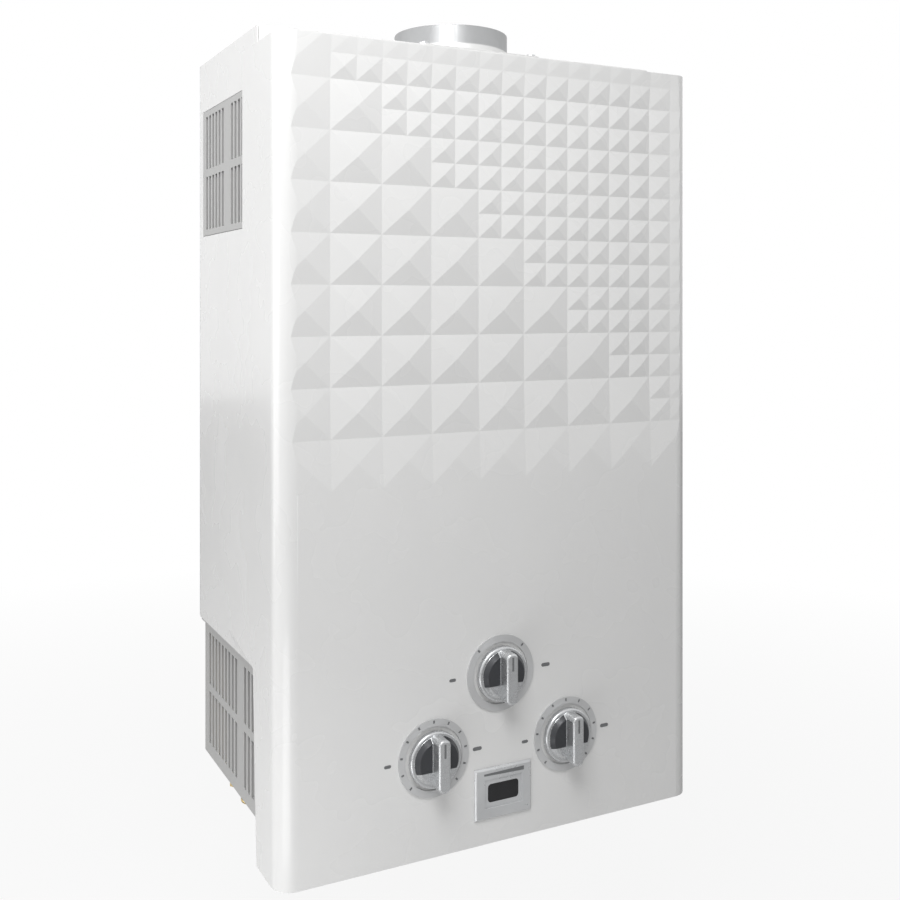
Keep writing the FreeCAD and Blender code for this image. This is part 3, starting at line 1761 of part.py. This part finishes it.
NODES = [
    front_cover, back_plate, right_side_panel, left_side_panel, top_panel, bottom_panel,
    upper_side_grilles, lower_side_grilles, flue_collar, draught_hood,
    combustion_chamber, chamber_coil, exchanger_casing, exchanger_fins, exchanger_tubes,
    overheat_cutout, core_brackets, burner_rack, burner_blades, electrodes,
    gas_manifold, gas_nozzles, season_valve_body, gas_valve_body, valve_bonnet, gas_poppet,
    solenoid_coil, solenoid_plunger,
    water_valve_body, water_valve_cap, diaphragm, push_rod, return_spring, microswitch, switch_lever,
    gas_nipple, cold_nipple, hot_nipple, inlet_filter, pipe_nuts, cold_pipe, hot_pipe, drain_plug,
    gas_knob, water_knob, season_knob, knob_dials, gas_spindle, water_spindle, season_spindle,
    display_bezel, display_lens, display_board, igniter_box,
    battery_box, batteries, battery_contacts, battery_lid, lid_pin, screws,
]

for build in NODES:
    shape = build()
    shape.translate(V(0, 0, -hang_level))
    shape.exportStep("parts/" + build.__name__ + ".step")
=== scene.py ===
import json
import math

import bmesh
import bpy
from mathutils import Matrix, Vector


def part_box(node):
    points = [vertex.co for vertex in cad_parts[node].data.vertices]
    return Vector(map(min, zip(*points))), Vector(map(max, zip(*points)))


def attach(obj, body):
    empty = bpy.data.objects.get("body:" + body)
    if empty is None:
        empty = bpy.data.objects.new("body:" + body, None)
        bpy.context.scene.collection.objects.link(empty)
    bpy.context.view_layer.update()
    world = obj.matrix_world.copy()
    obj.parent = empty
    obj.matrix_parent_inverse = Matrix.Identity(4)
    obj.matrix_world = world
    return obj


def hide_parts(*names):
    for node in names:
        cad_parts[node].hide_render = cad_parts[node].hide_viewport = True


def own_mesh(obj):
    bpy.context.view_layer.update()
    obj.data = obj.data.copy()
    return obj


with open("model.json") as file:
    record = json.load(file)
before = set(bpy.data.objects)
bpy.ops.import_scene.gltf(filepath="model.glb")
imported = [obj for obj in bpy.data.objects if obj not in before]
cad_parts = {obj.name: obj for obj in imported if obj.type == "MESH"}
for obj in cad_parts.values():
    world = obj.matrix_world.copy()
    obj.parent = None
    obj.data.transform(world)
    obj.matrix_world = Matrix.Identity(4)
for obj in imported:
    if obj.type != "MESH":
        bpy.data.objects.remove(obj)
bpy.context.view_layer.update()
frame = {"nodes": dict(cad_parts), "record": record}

MM = 0.001
NODES = frame["nodes"]
THREAD_PITCH = 1.81 * MM
THREAD_LEAD = 0.8 * MM
THREAD_LENGTH = 14 * MM
# Height of the white band round the collar's foot, a painted highlight
HIGHLIGHT_FOOT_HEIGHT = 7 * MM

# Camera: level, to the left of the object, with the photograph's framing kept by a small shift
yaw = math.radians(27.2)
eye = (-0.3965, -0.8917, -0.2046)
camera_data = bpy.data.cameras.new("camera")
camera_data.lens = 44.48
camera_data.sensor_width = 36.0
camera_data.shift_y = -0.1611
camera_data.clip_start = 0.01
camera_data.dof.use_dof = False
camera = bpy.data.objects.new("camera", camera_data)
camera.location = eye
camera.rotation_euler = (math.radians(90), 0, -yaw)
bpy.context.scene.collection.objects.link(camera)
bpy.context.scene.camera = camera
bpy.context.scene.view_settings.view_transform = "Standard"


# Materials


class Shade:
    """A material with helpers for its node tree, on the mesh's own coordinates in metres."""

    def __init__(self, name):
        self.material = bpy.data.materials.new(name)
        self.material.use_nodes = True
        tree = self.material.node_tree
        self.nodes = tree.nodes
        self.links = tree.links
        self.shader = self.nodes["Principled BSDF"]
        self.coordinates = self.nodes.new("ShaderNodeTexCoord")

    def put(self, kind, **inputs):
        node = self.nodes.new(kind)
        for key, value in inputs.items():
            setattr(node, key, value)
        return node

    def link(self, out, target):
        self.links.new(out, target)

    def stretched(self, scale):
        """The object's coordinates, stretched for a directional pattern."""
        mapping = self.put("ShaderNodeMapping")
        mapping.inputs["Scale"].default_value = scale
        self.link(self.coordinates.outputs["Object"], mapping.inputs["Vector"])
        return mapping.outputs["Vector"]

    def noise(self, scale, detail=2.0, rough=0.5, vector=None, distortion=0.0):
        node = self.put("ShaderNodeTexNoise")
        node.inputs["Scale"].default_value = scale
        node.inputs["Detail"].default_value = detail
        node.inputs["Roughness"].default_value = rough
        node.inputs["Distortion"].default_value = distortion
        self.link(vector or self.coordinates.outputs["Object"], node.inputs["Vector"])
        return node.outputs["Fac"]

    def cells(self, scale, feature="F1", output="Distance", vector=None):
        node = self.put("ShaderNodeTexVoronoi", feature=feature)
        node.inputs["Scale"].default_value = scale
        self.link(vector or self.coordinates.outputs["Object"], node.inputs["Vector"])
        return node.outputs[output]

    def spread(self, value, low, high, start=0.35, end=0.65):
        node = self.put("ShaderNodeMapRange")
        node.inputs["From Min"].default_value = start
        node.inputs["From Max"].default_value = end
        node.inputs["To Min"].default_value = low
        node.inputs["To Max"].default_value = high
        self.link(value, node.inputs["Value"])
        return node.outputs["Result"]

    def band(self, axis, low, high, soft):
        """One between two places along an axis of the object, and nought outside them."""
        apart = self.put("ShaderNodeSeparateXYZ")
        self.link(self.coordinates.outputs["Object"], apart.inputs["Vector"])
        both = self.put("ShaderNodeMath", operation="MULTIPLY")
        self.link(self.spread(apart.outputs[axis], 0, 1, low - soft, low + soft), both.inputs[0])
        self.link(self.spread(apart.outputs[axis], 1, 0, high - soft, high + soft), both.inputs[1])
        return both.outputs[0]

    def grooves(self, pitch, axis="Z"):
        """Even ridges across an axis, one for each pitch."""
        wave = self.put("ShaderNodeTexWave", bands_direction=axis, wave_profile="TRI")
        wave.inputs["Scale"].default_value = 2 * math.pi / (20 * pitch)
        self.link(self.coordinates.outputs["Object"], wave.inputs["Vector"])
        return wave.outputs["Fac"]

    def between(self, factor, first, second):
        node = self.put("ShaderNodeMix", data_type="RGBA")
        self.link(factor, node.inputs["Factor"])
        for socket, colour in ((node.inputs[6], first), (node.inputs[7], second)):
            if isinstance(colour, bpy.types.NodeSocket):
                self.link(colour, socket)
            else:
                socket.default_value = (*colour, 1)
        return node.outputs[2]

    def bump(self, heights):
        """Several height patterns, each with its depth in metres, one after another."""
        normal = None
        for height, depth, strength in heights:
            node = self.put("ShaderNodeBump")
            node.inputs["Strength"].default_value = strength
            node.inputs["Distance"].default_value = depth
            self.link(height, node.inputs["Height"])
            if normal is not None:
                self.link(normal, node.inputs["Normal"])
            normal = node.outputs["Normal"]
        self.link(normal, self.shader.inputs["Normal"])

    def colour(self, socket):
        self.link(socket, self.shader.inputs["Base Color"])

    def rough(self, socket):
        self.link(socket, self.shader.inputs["Roughness"])

    def fixed(self, **values):
        for key, value in values.items():
            self.shader.inputs[key.replace("_", " ")].default_value = value


def tint(colour, factor):
    return tuple(min(1.0, channel * factor) for channel in colour)


def enamel(name, colour, gloss=0.26, coat=0.35):
    """Baked powder coat: a fine orange peel, faint tone drift and handling dullness."""
    s = Shade(name)
    drift = s.noise(9, 3, 0.55)
    s.colour(s.between(s.spread(drift, 0, 1), tint(colour, 0.985), tint(colour, 1.012)))
    s.rough(s.spread(s.noise(24, 2, 0.5), gloss - 0.02, gloss + 0.04))
    s.bump([(s.noise(900, 2, 0.5), 0.00002, 0.2), (s.noise(55, 1, 0.5), 0.0001, 0.05)])
    s.fixed(Coat_Weight=coat, Coat_Roughness=0.09)
    return s.material


def zinc(name, colour=(0.56, 0.575, 0.585)):
    """Galvanised sheet: angular spangle, light rolling lines and a few dull stains."""
    s = Shade(name)
    spangle = s.cells(95, output="Color")
    grey = s.put("ShaderNodeRGBToBW")
    s.link(spangle, grey.inputs["Color"])
    tone = s.between(s.spread(grey.outputs["Val"], 0, 1, 0.1, 0.9), tint(colour, 0.86), tint(colour, 1.1))
    s.colour(s.between(s.spread(s.noise(14, 4, 0.6), 0, 0.35, 0.5, 0.75), tone, tint(colour, 0.72)))
    s.rough(s.spread(grey.outputs["Val"], 0.30, 0.48, 0.0, 1.0))
    s.bump([(s.noise(260, 3, 0.6, s.stretched((0.2, 1, 1))), 0.00004, 0.3)])
    s.fixed(Metallic=0.9)
    return s.material


def copper(name, colour=(0.78, 0.40, 0.25), heat=0.35):
    """Copper with a tarnish drift, heat tint and fine drawing lines."""
    s = Shade(name)
    tarnish = s.noise(22, 5, 0.62, distortion=0.4)
    fresh = s.between(s.spread(s.noise(60, 3), 0, 1), tint(colour, 0.9), tint(colour, 1.12))
    s.colour(s.between(s.spread(tarnish, 0, heat, 0.42, 0.72), fresh, (0.34, 0.17, 0.12)))
    s.rough(s.spread(tarnish, 0.24, 0.46))
    s.bump([(s.noise(700, 2, 0.5, s.stretched((1, 1, 0.15))), 0.00003, 0.3)])
    s.fixed(Metallic=1.0)
    return s.material


def brushed(name, colour, rough=0.3, lines=(1, 0.08, 1), scale=520):
    """Sheet or wire with fine one-way brushing and a slow change of tone."""
    s = Shade(name)
    grain = s.noise(scale, 3, 0.6, s.stretched(lines))
    s.colour(s.between(s.spread(s.noise(26, 3), 0, 1), tint(colour, 0.9), tint(colour, 1.06)))
    s.rough(s.spread(grain, rough - 0.05, rough + 0.12))
    s.bump([(grain, 0.00004, 0.35)])
    s.fixed(Metallic=1.0)
    return s.material


def casting(name, colour):
    """Die-cast alloy: sandy skin with small pits and darker hollows."""
    s = Shade(name)
    pits = s.cells(900)
    skin = s.noise(620, 3, 0.6)
    s.colour(s.between(s.spread(s.noise(40, 4), 0, 1), tint(colour, 0.82), tint(colour, 1.06)))
    s.rough(s.spread(skin, 0.42, 0.62))
    s.bump([(skin, 0.00012, 0.4), (pits, 0.00008, 0.2)])
    s.fixed(Metallic=0.85)
    return s.material


def turned_brass(name, colour=(0.76, 0.58, 0.27), thread=None):
    """Machined brass: tool lines, a mild tarnish, and a thread's ridges between two levels."""
    s = Shade(name)
    lines = s.noise(900, 2, 0.5, s.stretched((0.1, 0.1, 1)))
    tarnish = s.noise(34, 4, 0.6)
    s.colour(s.between(s.spread(tarnish, 0, 0.5, 0.45, 0.7), colour, (0.40, 0.29, 0.13)))
    s.rough(s.spread(tarnish, 0.22, 0.42))
    heights = [(lines, 0.00004, 0.3)]
    if thread:
        ridges = s.put("ShaderNodeMath", operation="MULTIPLY")
        s.link(s.grooves(THREAD_PITCH), ridges.inputs[0])
        s.link(s.band("Z", thread[0], thread[1], 0.2 * MM), ridges.inputs[1])
        heights.append((ridges.outputs[0], 0.0011, 1.0))
    s.bump(heights)
    s.fixed(Metallic=1.0)
    return s.material


def moulded(name, colour, rough=0.42, grain=1400, depth=0.00005, metallic=0.0, coat=0.0):
    """Moulded plastic with a spark-eroded grain and a slow drift of tone."""
    s = Shade(name)
    s.colour(s.between(s.spread(s.noise(30, 3), 0, 1), tint(colour, 0.93), tint(colour, 1.05)))
    s.rough(s.spread(s.noise(90, 3), rough - 0.05, rough + 0.06))
    s.bump([(s.noise(grain, 2, 0.5), depth, 0.3), (s.noise(80, 2), 0.0001, 0.08)])
    s.fixed(Metallic=metallic, Coat_Weight=coat, Coat_Roughness=0.08)
    return s.material


def ceramic(name):
    """Glazed porcelain with faint specks and a warm body."""
    s = Shade(name)
    specks = s.cells(700)
    s.colour(s.between(s.spread(specks, 1, 0, 0.02, 0.08), (0.86, 0.83, 0.77), (0.62, 0.58, 0.5)))
    s.rough(s.spread(s.noise(120, 3), 0.12, 0.24))
    s.bump([(s.noise(200, 2), 0.00006, 0.2)])
    return s.material


def smoked(name):
    """A dark smoked window with faint dust and hairlines."""
    s = Shade(name)
    s.colour(s.between(s.spread(s.noise(60, 4), 0, 1), (0.006, 0.006, 0.007), (0.013, 0.013, 0.015)))
    s.rough(s.spread(s.noise(420, 4, 0.7), 0.05, 0.12))
    s.bump([(s.noise(90, 2), 0.00004, 0.08)])
    return s.material


def board(name):
    """A lacquered circuit board with the traces' relief under the green."""
    s = Shade(name)
    brick = s.put("ShaderNodeTexBrick")
    brick.inputs["Scale"].default_value = 210
    brick.inputs["Mortar Size"].default_value = 0.03
    s.link(s.stretched((1, 1, 1)), brick.inputs["Vector"])
    s.colour(s.between(s.spread(brick.outputs["Fac"], 0, 1, 0, 1), (0.03, 0.16, 0.07), (0.06, 0.27, 0.13)))
    s.rough(s.spread(s.noise(300, 2), 0.25, 0.4))
    s.bump([(brick.outputs["Fac"], 0.00006, 0.3)])
    return s.material


def wrap(name):
    """The shrink sleeve of a dry cell: plain bands, slightly wavy film."""
    s = Shade(name)
    s.colour(s.between(s.spread(s.noise(45, 3), 0, 1), (0.10, 0.115, 0.14), (0.15, 0.17, 0.20)))
    s.rough(s.spread(s.noise(160, 3), 0.2, 0.34))
    s.bump([(s.noise(110, 3), 0.0001, 0.25)])
    return s.material


def knob_silver(name):
    """Silver-painted moulding with fine metal flake under a clear coat."""
    s = Shade(name)
    flake = s.cells(2600, output="Color")
    grey = s.put("ShaderNodeRGBToBW")
    s.link(flake, grey.inputs["Color"])
    s.colour(s.between(grey.outputs["Val"], (0.50, 0.51, 0.52), (0.66, 0.67, 0.68)))
    s.rough(s.spread(s.noise(150, 3), 0.24, 0.34))
    s.bump([(grey.outputs["Val"], 0.00002, 0.15), (s.noise(90, 2), 0.00012, 0.08)])
    s.fixed(Metallic=0.8, Coat_Weight=0.4, Coat_Roughness=0.06)
    return s.material


def collar_with_painted_highlight(name):
    """A dull steel spigot with a white band round its foot, a painted highlight on the collar's lower
    part.
    """
    s = Shade(name)
    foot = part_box("flue_collar")[0].z
    # Painted highlight: white round the foot, with the grey steel above it
    painted = s.band("Z", foot - 1 * MM, foot + HIGHLIGHT_FOOT_HEIGHT, 0.5 * MM)
    steel = s.between(s.spread(s.noise(30, 3), 0, 1), (0.36, 0.365, 0.37), (0.42, 0.425, 0.43))
    s.colour(s.between(painted, steel, (0.76, 0.76, 0.755)))
    s.rough(s.spread(s.noise(500, 3, 0.6, s.stretched((1, 1, 0.1))), 0.34, 0.46))
    s.bump([(s.noise(420, 2, 0.5, s.stretched((0.2, 0.2, 1))), 0.00004, 0.3)])
    s.fixed(Metallic=0.35)
    return s.material


WHITE = (0.80, 0.80, 0.795)
looks = {
    "casing_enamel": enamel("enamel_white", WHITE),
    "collar_steel": collar_with_painted_highlight("collar_steel"),
    # The grilles are darker than their own light grey coat: painted shade for the shadowed gaps between
    # the slats
    "grille_enamel": enamel("grille_grey_painted_shade", (0.44, 0.44, 0.435), 0.38, 0.12),
    "zinc_steel": zinc("zinc_sheet"),
    "copper": copper("copper_sheet"),
    "fin_copper": copper("copper_fins", (0.70, 0.34, 0.21), 0.5),
    "burner_steel": brushed("burner_sheet", (0.50, 0.49, 0.48), 0.36),
    "cast_alloy": casting("die_cast", (0.58, 0.585, 0.59)),
    "brass": turned_brass("turned_brass"),
    "spring_steel": brushed("spring_wire", (0.56, 0.57, 0.58), 0.26, (1, 1, 0.1)),
    "screw_steel": brushed("plated_steel", (0.66, 0.67, 0.68), 0.24, (1, 1, 0.2)),
    "rubber": moulded("rubber", (0.03, 0.03, 0.03), 0.68, 900, 0.0001),
    "ceramic": ceramic("porcelain"),
    "knob_grey": knob_silver("knob_silver"),
    "dial_grey": moulded("dial_print", (0.60, 0.605, 0.61), 0.34, 1800, 0.00002, 0.25, 0.3),
    "bezel_grey": moulded("bezel_silver", (0.60, 0.61, 0.62), 0.3, 1800, 0.00002, 0.35, 0.35),
    "lens_dark": smoked("smoked_window"),
    "board_green": board("circuit_board"),
    "black_plastic": moulded("black_moulding", (0.028, 0.028, 0.03), 0.46),
    "white_plastic": moulded("white_moulding", (0.74, 0.74, 0.72), 0.40),
    "blue_plastic": moulded("coil_tape", (0.06, 0.11, 0.22), 0.38, 500, 0.00008),
    "cell_wrap": wrap("cell_sleeve"),
}
for entry in frame["record"]["subparts"]:
    node = NODES[entry["node"]]
    node.data.materials.clear()
    node.data.materials.append(looks[entry["material_slot"]])

nipple_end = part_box("gas_nipple")[0].z
thread_levels = (nipple_end + THREAD_LEAD, nipple_end + THREAD_LENGTH)
threaded_brass = turned_brass("threaded_brass", thread=thread_levels)
for name in ("gas_nipple", "cold_nipple", "hot_nipple"):
    NODES[name].data.materials[0] = threaded_brass


# Softened edges on the carried-over nodes, each with its width in millimetres


def soften(name, width, angle=32, segments=2):
    node = NODES[name]
    weld = node.modifiers.new("weld", "WELD")
    weld.merge_threshold = 1e-5
    bevel = node.modifiers.new("edge", "BEVEL")
    bevel.width = width * MM
    bevel.segments = segments
    bevel.limit_method = "ANGLE"
    bevel.angle_limit = math.radians(angle)
    bevel.harden_normals = False
    bevel.use_clamp_overlap = True


for width, names in (
    (0.2, ("display_bezel",)),
    (0.25, ("back_plate", "screws", "upper_side_grilles", "lower_side_grilles")),
    (0.3, ("right_side_panel", "left_side_panel", "top_panel", "bottom_panel", "flue_collar")),
    (0.35, ("gas_knob", "water_knob", "season_knob")),
    (0.4, ("battery_lid",)),
    (0.5, ("drain_plug", "gas_nipple", "cold_nipple", "hot_nipple", "pipe_nuts", "igniter_box")),
    (0.8, ("gas_valve_body", "water_valve_body", "season_valve_body")),
):
    for name in names:
        soften(name, width)
# The cover's pyramids meet at shallow angles
soften("front_cover", 1.3, 7, 3)


# Helpers for the added pieces


def piece(name, mesh, body, slot, material=None):
    obj = bpy.data.objects.new(name, mesh)
    bpy.context.scene.collection.objects.link(obj)
    mesh.materials.append(material or looks[slot])
    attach(obj, body)
    return obj


def add_prism(bm, outline, back, front, centre, foot=None):
    """A closed outline in the cover's plane, drawn out along Y from itself or from a wider foot."""
    rear = [bm.verts.new((centre[0] + x, back, centre[1] + z)) for x, z in foot or outline]
    fore = [bm.verts.new((centre[0] + x, front, centre[1] + z)) for x, z in outline]
    bm.faces.new(fore)
    bm.faces.new(list(reversed(rear)))
    count = len(outline)
    for index in range(count):
        after = (index + 1) % count
        bm.faces.new((rear[index], rear[after], fore[after], fore[index]))


def finished(bm, name):
    bmesh.ops.recalc_face_normals(bm, faces=bm.faces)
    mesh = bpy.data.meshes.new(name)
    bm.to_mesh(mesh)
    bm.free()
    return mesh


def arc(radius, start, end, steps):
    points = []
    for step in range(steps + 1):
        angle = math.radians(start + (end - start) * step / steps)
        points.append((radius * math.cos(angle), radius * math.sin(angle)))
    return points


def rectangle(left, right, low, high):
    return [(left, low), (right, low), (right, high), (left, high)]


def stadium(half_width, half_height):
    """A bar with round ends."""
    points = []
    for side, start in ((1, 0), (-1, 180)):
        for x, z in arc(half_height, start - 90, start + 90, 8):
            points.append((x + side * (half_width - half_height), z))
    return points


def turned(outline, degrees):
    """An outline turned clockwise about its centre, as seen from the front."""
    cos = math.cos(math.radians(degrees))
    sin = math.sin(math.radians(degrees))
    return [(x * cos + z * sin, z * cos - x * sin) for x, z in outline]


def middle(name):
    """The middle of a node in the cover's plane."""
    low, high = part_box(name)
    return (low.x + high.x) / 2, (low.z + high.z) / 2


# Knobs: a dark insert on each side of the grip, the knob's dark recess together with painted shade and
# dark reflection on the dome's shoulder, and a pointer line on the grip's crest

PRINT = 0.12 * MM
INSERT_END = -24
GRIP_CLEAR = 5.0 * MM
POINTER = rectangle(-0.7 * MM, 0.7 * MM, 6 * MM, 15.5 * MM)
# Dark print for the marks and pointers, also used for the display frame's painted shadow
dark_print_and_shade = moulded("printed_grey_and_shade", (0.16, 0.165, 0.17), 0.4, 1600, 0.00002)
# The inserts' dark colour is partly the knob's dark recess and partly painted shade and reflection on the
# dome's shoulder
insert_dark_and_shade = moulded("dish_dark_and_shade", (0.045, 0.047, 0.052), 0.36, 1500, 0.00002, 0.3, 0.1)
face_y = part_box("front_cover")[0].y


def insert_outline(reach, side):
    """One side of a knob's dome, from the grip's upper end down to a little below the middle."""
    top = math.degrees(math.acos(GRIP_CLEAR / reach))
    points = arc(reach, INSERT_END, top, 24)
    points.append((GRIP_CLEAR, reach * math.sin(math.radians(INSERT_END))))
    return [(side * x, z) for x, z in points]


def knob_inserts(knob, body):
    """The inserts follow the dome's shoulder from a foot near the skirt to a crest over the top."""
    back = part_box(knob)[1].y
    bm = bmesh.new()
    for side in (-1, 1):
        crest = insert_outline(14.6 * MM, side)
        foot = insert_outline(17.15 * MM, side)
        add_prism(bm, crest, back - 4.2 * MM, back - 7.9 * MM, middle(knob), foot)
    inserts = piece(knob + "_dish", finished(bm, knob + "_dish"), body, "knob_grey", insert_dark_and_shade)
    bevel = inserts.modifiers.new("edge", "BEVEL")
    bevel.width = 0.3 * MM
    bevel.segments = 2


def knob_pointer(knob, body):
    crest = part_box(knob)[0].y
    bm = bmesh.new()
    add_prism(bm, POINTER, crest + 0.3 * MM, crest - PRINT, middle(knob))
    piece(knob + "_pointer", finished(bm, knob + "_pointer"), body, "knob_grey", dark_print_and_shade)


for knob, body in (
    ("gas_knob", "gas_control"), ("water_knob", "water_control"), ("season_knob", "season_control"),
):
    knob_inserts(knob, body)
    knob_pointer(knob, body)


# Print on the cover and the dials


def cover_marks():
    """A short bar for least on the left of each dial, and a longer one for most on its right."""
    bm = bmesh.new()
    least = stadium(2.6 * MM, 1.1 * MM)
    most = stadium(3.6 * MM, 1.3 * MM)
    for knob, spread in (("gas_knob", 34.5 * MM), ("water_knob", 34.5 * MM), ("season_knob", 38 * MM)):
        x, z = middle(knob)
        add_prism(bm, least, face_y + 0.1 * MM, face_y - PRINT, (x - spread, z))
        add_prism(bm, most, face_y + 0.1 * MM, face_y - PRINT, (x + spread, z))
    piece("cover_marks", finished(bm, "cover_marks"), "casing", "casing_enamel", dark_print_and_shade)


def dial_fill():
    """Dark paint in the dials' engraved marks."""
    bm = bmesh.new()
    mark = rectangle(-0.65 * MM, 0.65 * MM, 23.9 * MM, 25.9 * MM)
    for knob, sweep, count in (("gas_knob", 270, 11), ("water_knob", 270, 11), ("season_knob", 90, 2)):
        for index in range(count):
            place = -sweep / 2 + index * sweep / (count - 1)
            add_prism(bm, turned(mark, place), face_y - 0.7 * MM, face_y - 0.95 * MM, middle(knob))
    piece("dial_fill", finished(bm, "dial_fill"), "casing", "dial_grey", dark_print_and_shade)


# Display: a painted shadow along the frame's top, as if under a hood, and a silver mask on the glass


def display_painted_shadow():
    """A painted shadow along the frame's top, deeper at its right end."""
    low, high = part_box("display_bezel")
    shadow_outline = [(-16 * MM, -0.7 * MM), (16.5 * MM, -1.6 * MM), (16.5 * MM, 1.2 * MM), (-16 * MM, 0.7 * MM)]
    place = (middle("display_bezel")[0], high.z - 4.2 * MM)
    bm = bmesh.new()
    add_prism(bm, shadow_outline, low.y + 0.2 * MM, low.y - PRINT, place)
    piece("display_painted_shadow", finished(bm, "display_painted_shadow"), "casing", "bezel_grey", dark_print_and_shade)


def mask_section(corner_x, corner_z, x, z):
    """One section of the mask, from the window's rounded corner to the mask's outer corner."""
    inner = (corner_x * 10.0 * MM + x, corner_z * 4.0 * MM + z)
    outer = (corner_x * 15.6 * MM, corner_z * 10.6 * MM)
    behind = -0.1 * MM
    return (*inner, behind), (*inner, PRINT), (*outer, PRINT), (*outer, behind)


def display_mask():
    """A print that leaves a rounded window clear, built as a ring of sections."""
    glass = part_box("display_lens")[0].y
    centre_x, centre_z = middle("display_bezel")
    bm = bmesh.new()
    rings = []
    for corner_x, corner_z, start in ((1, 1, 0), (-1, 1, 90), (-1, -1, 180), (1, -1, 270)):
        for x, z in arc(2.5 * MM, start, start + 90, 6):
            ring = []
            for across, up, proud in mask_section(corner_x, corner_z, x, z):
                ring.append(bm.verts.new((centre_x + across, glass - proud, centre_z + up)))
            rings.append(ring)
    for index, ring in enumerate(rings):
        after = rings[(index + 1) % len(rings)]
        for side in range(4):
            ahead = (side + 1) % 4
            bm.faces.new((ring[side], ring[ahead], after[ahead], after[side]))
    bmesh.ops.remove_doubles(bm, verts=bm.verts, dist=1e-6)
    piece("display_mask", finished(bm, "display_mask"), "casing", "bezel_grey")


# Water valve: the return spring, copied into a piece of its own on the casing


def return_spring():
    coils = NODES["return_spring"].data.copy()
    coils.materials.clear()
    spring = piece("return_spring_coils", coils, "casing", "spring_steel")
    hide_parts("return_spring")
    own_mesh(spring)


cover_marks()
dial_fill()
display_painted_shadow()
display_mask()
return_spring()


# Stage

FLOOR_LEVEL = -0.80
FLOOR_REACH = 6
SOFT_LIGHT = 0.31


def floor_paint():
    """Pale and matt, mostly white to the camera, and wholly white away from the object's shadow."""
    material = bpy.data.materials.new("pale_floor")
    material.use_nodes = True
    nodes = material.node_tree.nodes
    links = material.node_tree.links
    nodes.clear()
    output = nodes.new("ShaderNodeOutputMaterial")
    diffuse = nodes.new("ShaderNodeBsdfDiffuse")
    diffuse.inputs["Color"].default_value = (0.86, 0.86, 0.86, 1)
    glow = nodes.new("ShaderNodeEmission")
    glow.inputs["Strength"].default_value = 1.0
    mix = nodes.new("ShaderNodeMixShader")
    path = nodes.new("ShaderNodeLightPath")
    place = nodes.new("ShaderNodeTexCoord")
    away = nodes.new("ShaderNodeVectorMath")
    away.operation = "LENGTH"
    fade = nodes.new("ShaderNodeMapRange")
    fade.inputs["From Min"].default_value = 0.9
    fade.inputs["From Max"].default_value = 1.8
    fade.inputs["To Min"].default_value = 0.88
    fade.inputs["To Max"].default_value = 1.0
    links.new(place.outputs["Object"], away.inputs[0])
    links.new(away.outputs["Value"], fade.inputs["Value"])
    share = nodes.new("ShaderNodeMath")
    share.operation = "MULTIPLY"
    links.new(path.outputs["Is Camera Ray"], share.inputs[0])
    links.new(fade.outputs["Result"], share.inputs[1])
    links.new(share.outputs[0], mix.inputs["Fac"])
    links.new(diffuse.outputs[0], mix.inputs[1])
    links.new(glow.outputs[0], mix.inputs[2])
    links.new(mix.outputs[0], output.inputs["Surface"])
    return material


def lay_floor():
    mesh = bpy.data.meshes.new("floor")
    corners = rectangle(-FLOOR_REACH, FLOOR_REACH, -FLOOR_REACH, FLOOR_REACH)
    mesh.from_pydata([(x, y, FLOOR_LEVEL) for x, y in corners], [], [(0, 1, 2, 3)])
    floor = bpy.data.objects.new("floor", mesh)
    bpy.context.scene.collection.objects.link(floor)
    mesh.materials.append(floor_paint())


def light_world():
    """A soft white sky that the camera, metal and glass see at full white."""
    world = bpy.data.worlds.new("studio")
    bpy.context.scene.world = world
    world.use_nodes = True
    nodes = world.node_tree.nodes
    links = world.node_tree.links
    nodes.clear()
    output = nodes.new("ShaderNodeOutputWorld")
    mix = nodes.new("ShaderNodeMixShader")
    for place, strength in ((1, SOFT_LIGHT), (2, 1.0)):
        sky = nodes.new("ShaderNodeBackground")
        sky.inputs["Color"].default_value = (1, 1, 1, 1)
        sky.inputs["Strength"].default_value = strength
        links.new(sky.outputs[0], mix.inputs[place])
    path = nodes.new("ShaderNodeLightPath")
    seen = path.outputs["Is Camera Ray"]
    for ray in ("Is Glossy Ray", "Is Transmission Ray"):
        either = nodes.new("ShaderNodeMath")
        either.operation = "MAXIMUM"
        links.new(seen, either.inputs[0])
        links.new(path.outputs[ray], either.inputs[1])
        seen = either.outputs[0]
    links.new(seen, mix.inputs["Fac"])
    links.new(mix.outputs[0], output.inputs["Surface"])


def lamp(name, place, target, size, power):
    data = bpy.data.lights.new(name, "AREA")
    data.shape = "RECTANGLE"
    data.size = size[0]
    data.size_y = size[1]
    data.energy = power
    obj = bpy.data.objects.new(name, data)
    obj.location = place
    direction = Vector(target) - Vector(place)
    obj.rotation_euler = direction.to_track_quat("-Z", "Y").to_euler()
    bpy.context.scene.collection.objects.link(obj)


lay_floor()
light_world()
lamp("key", (-0.42, -0.74, 0.42), (-0.13, -0.2, -0.08), (0.5, 0.5), 7.2)
lamp("low_fill", (-0.34, -0.38, -0.66), (-0.165, -0.2, -0.52), (0.2, 0.2), 0.28)
lamp("left_fill", (-1.3, 0.15, -0.1), (-0.17, -0.1, -0.3), (0.8, 1.2), 6)
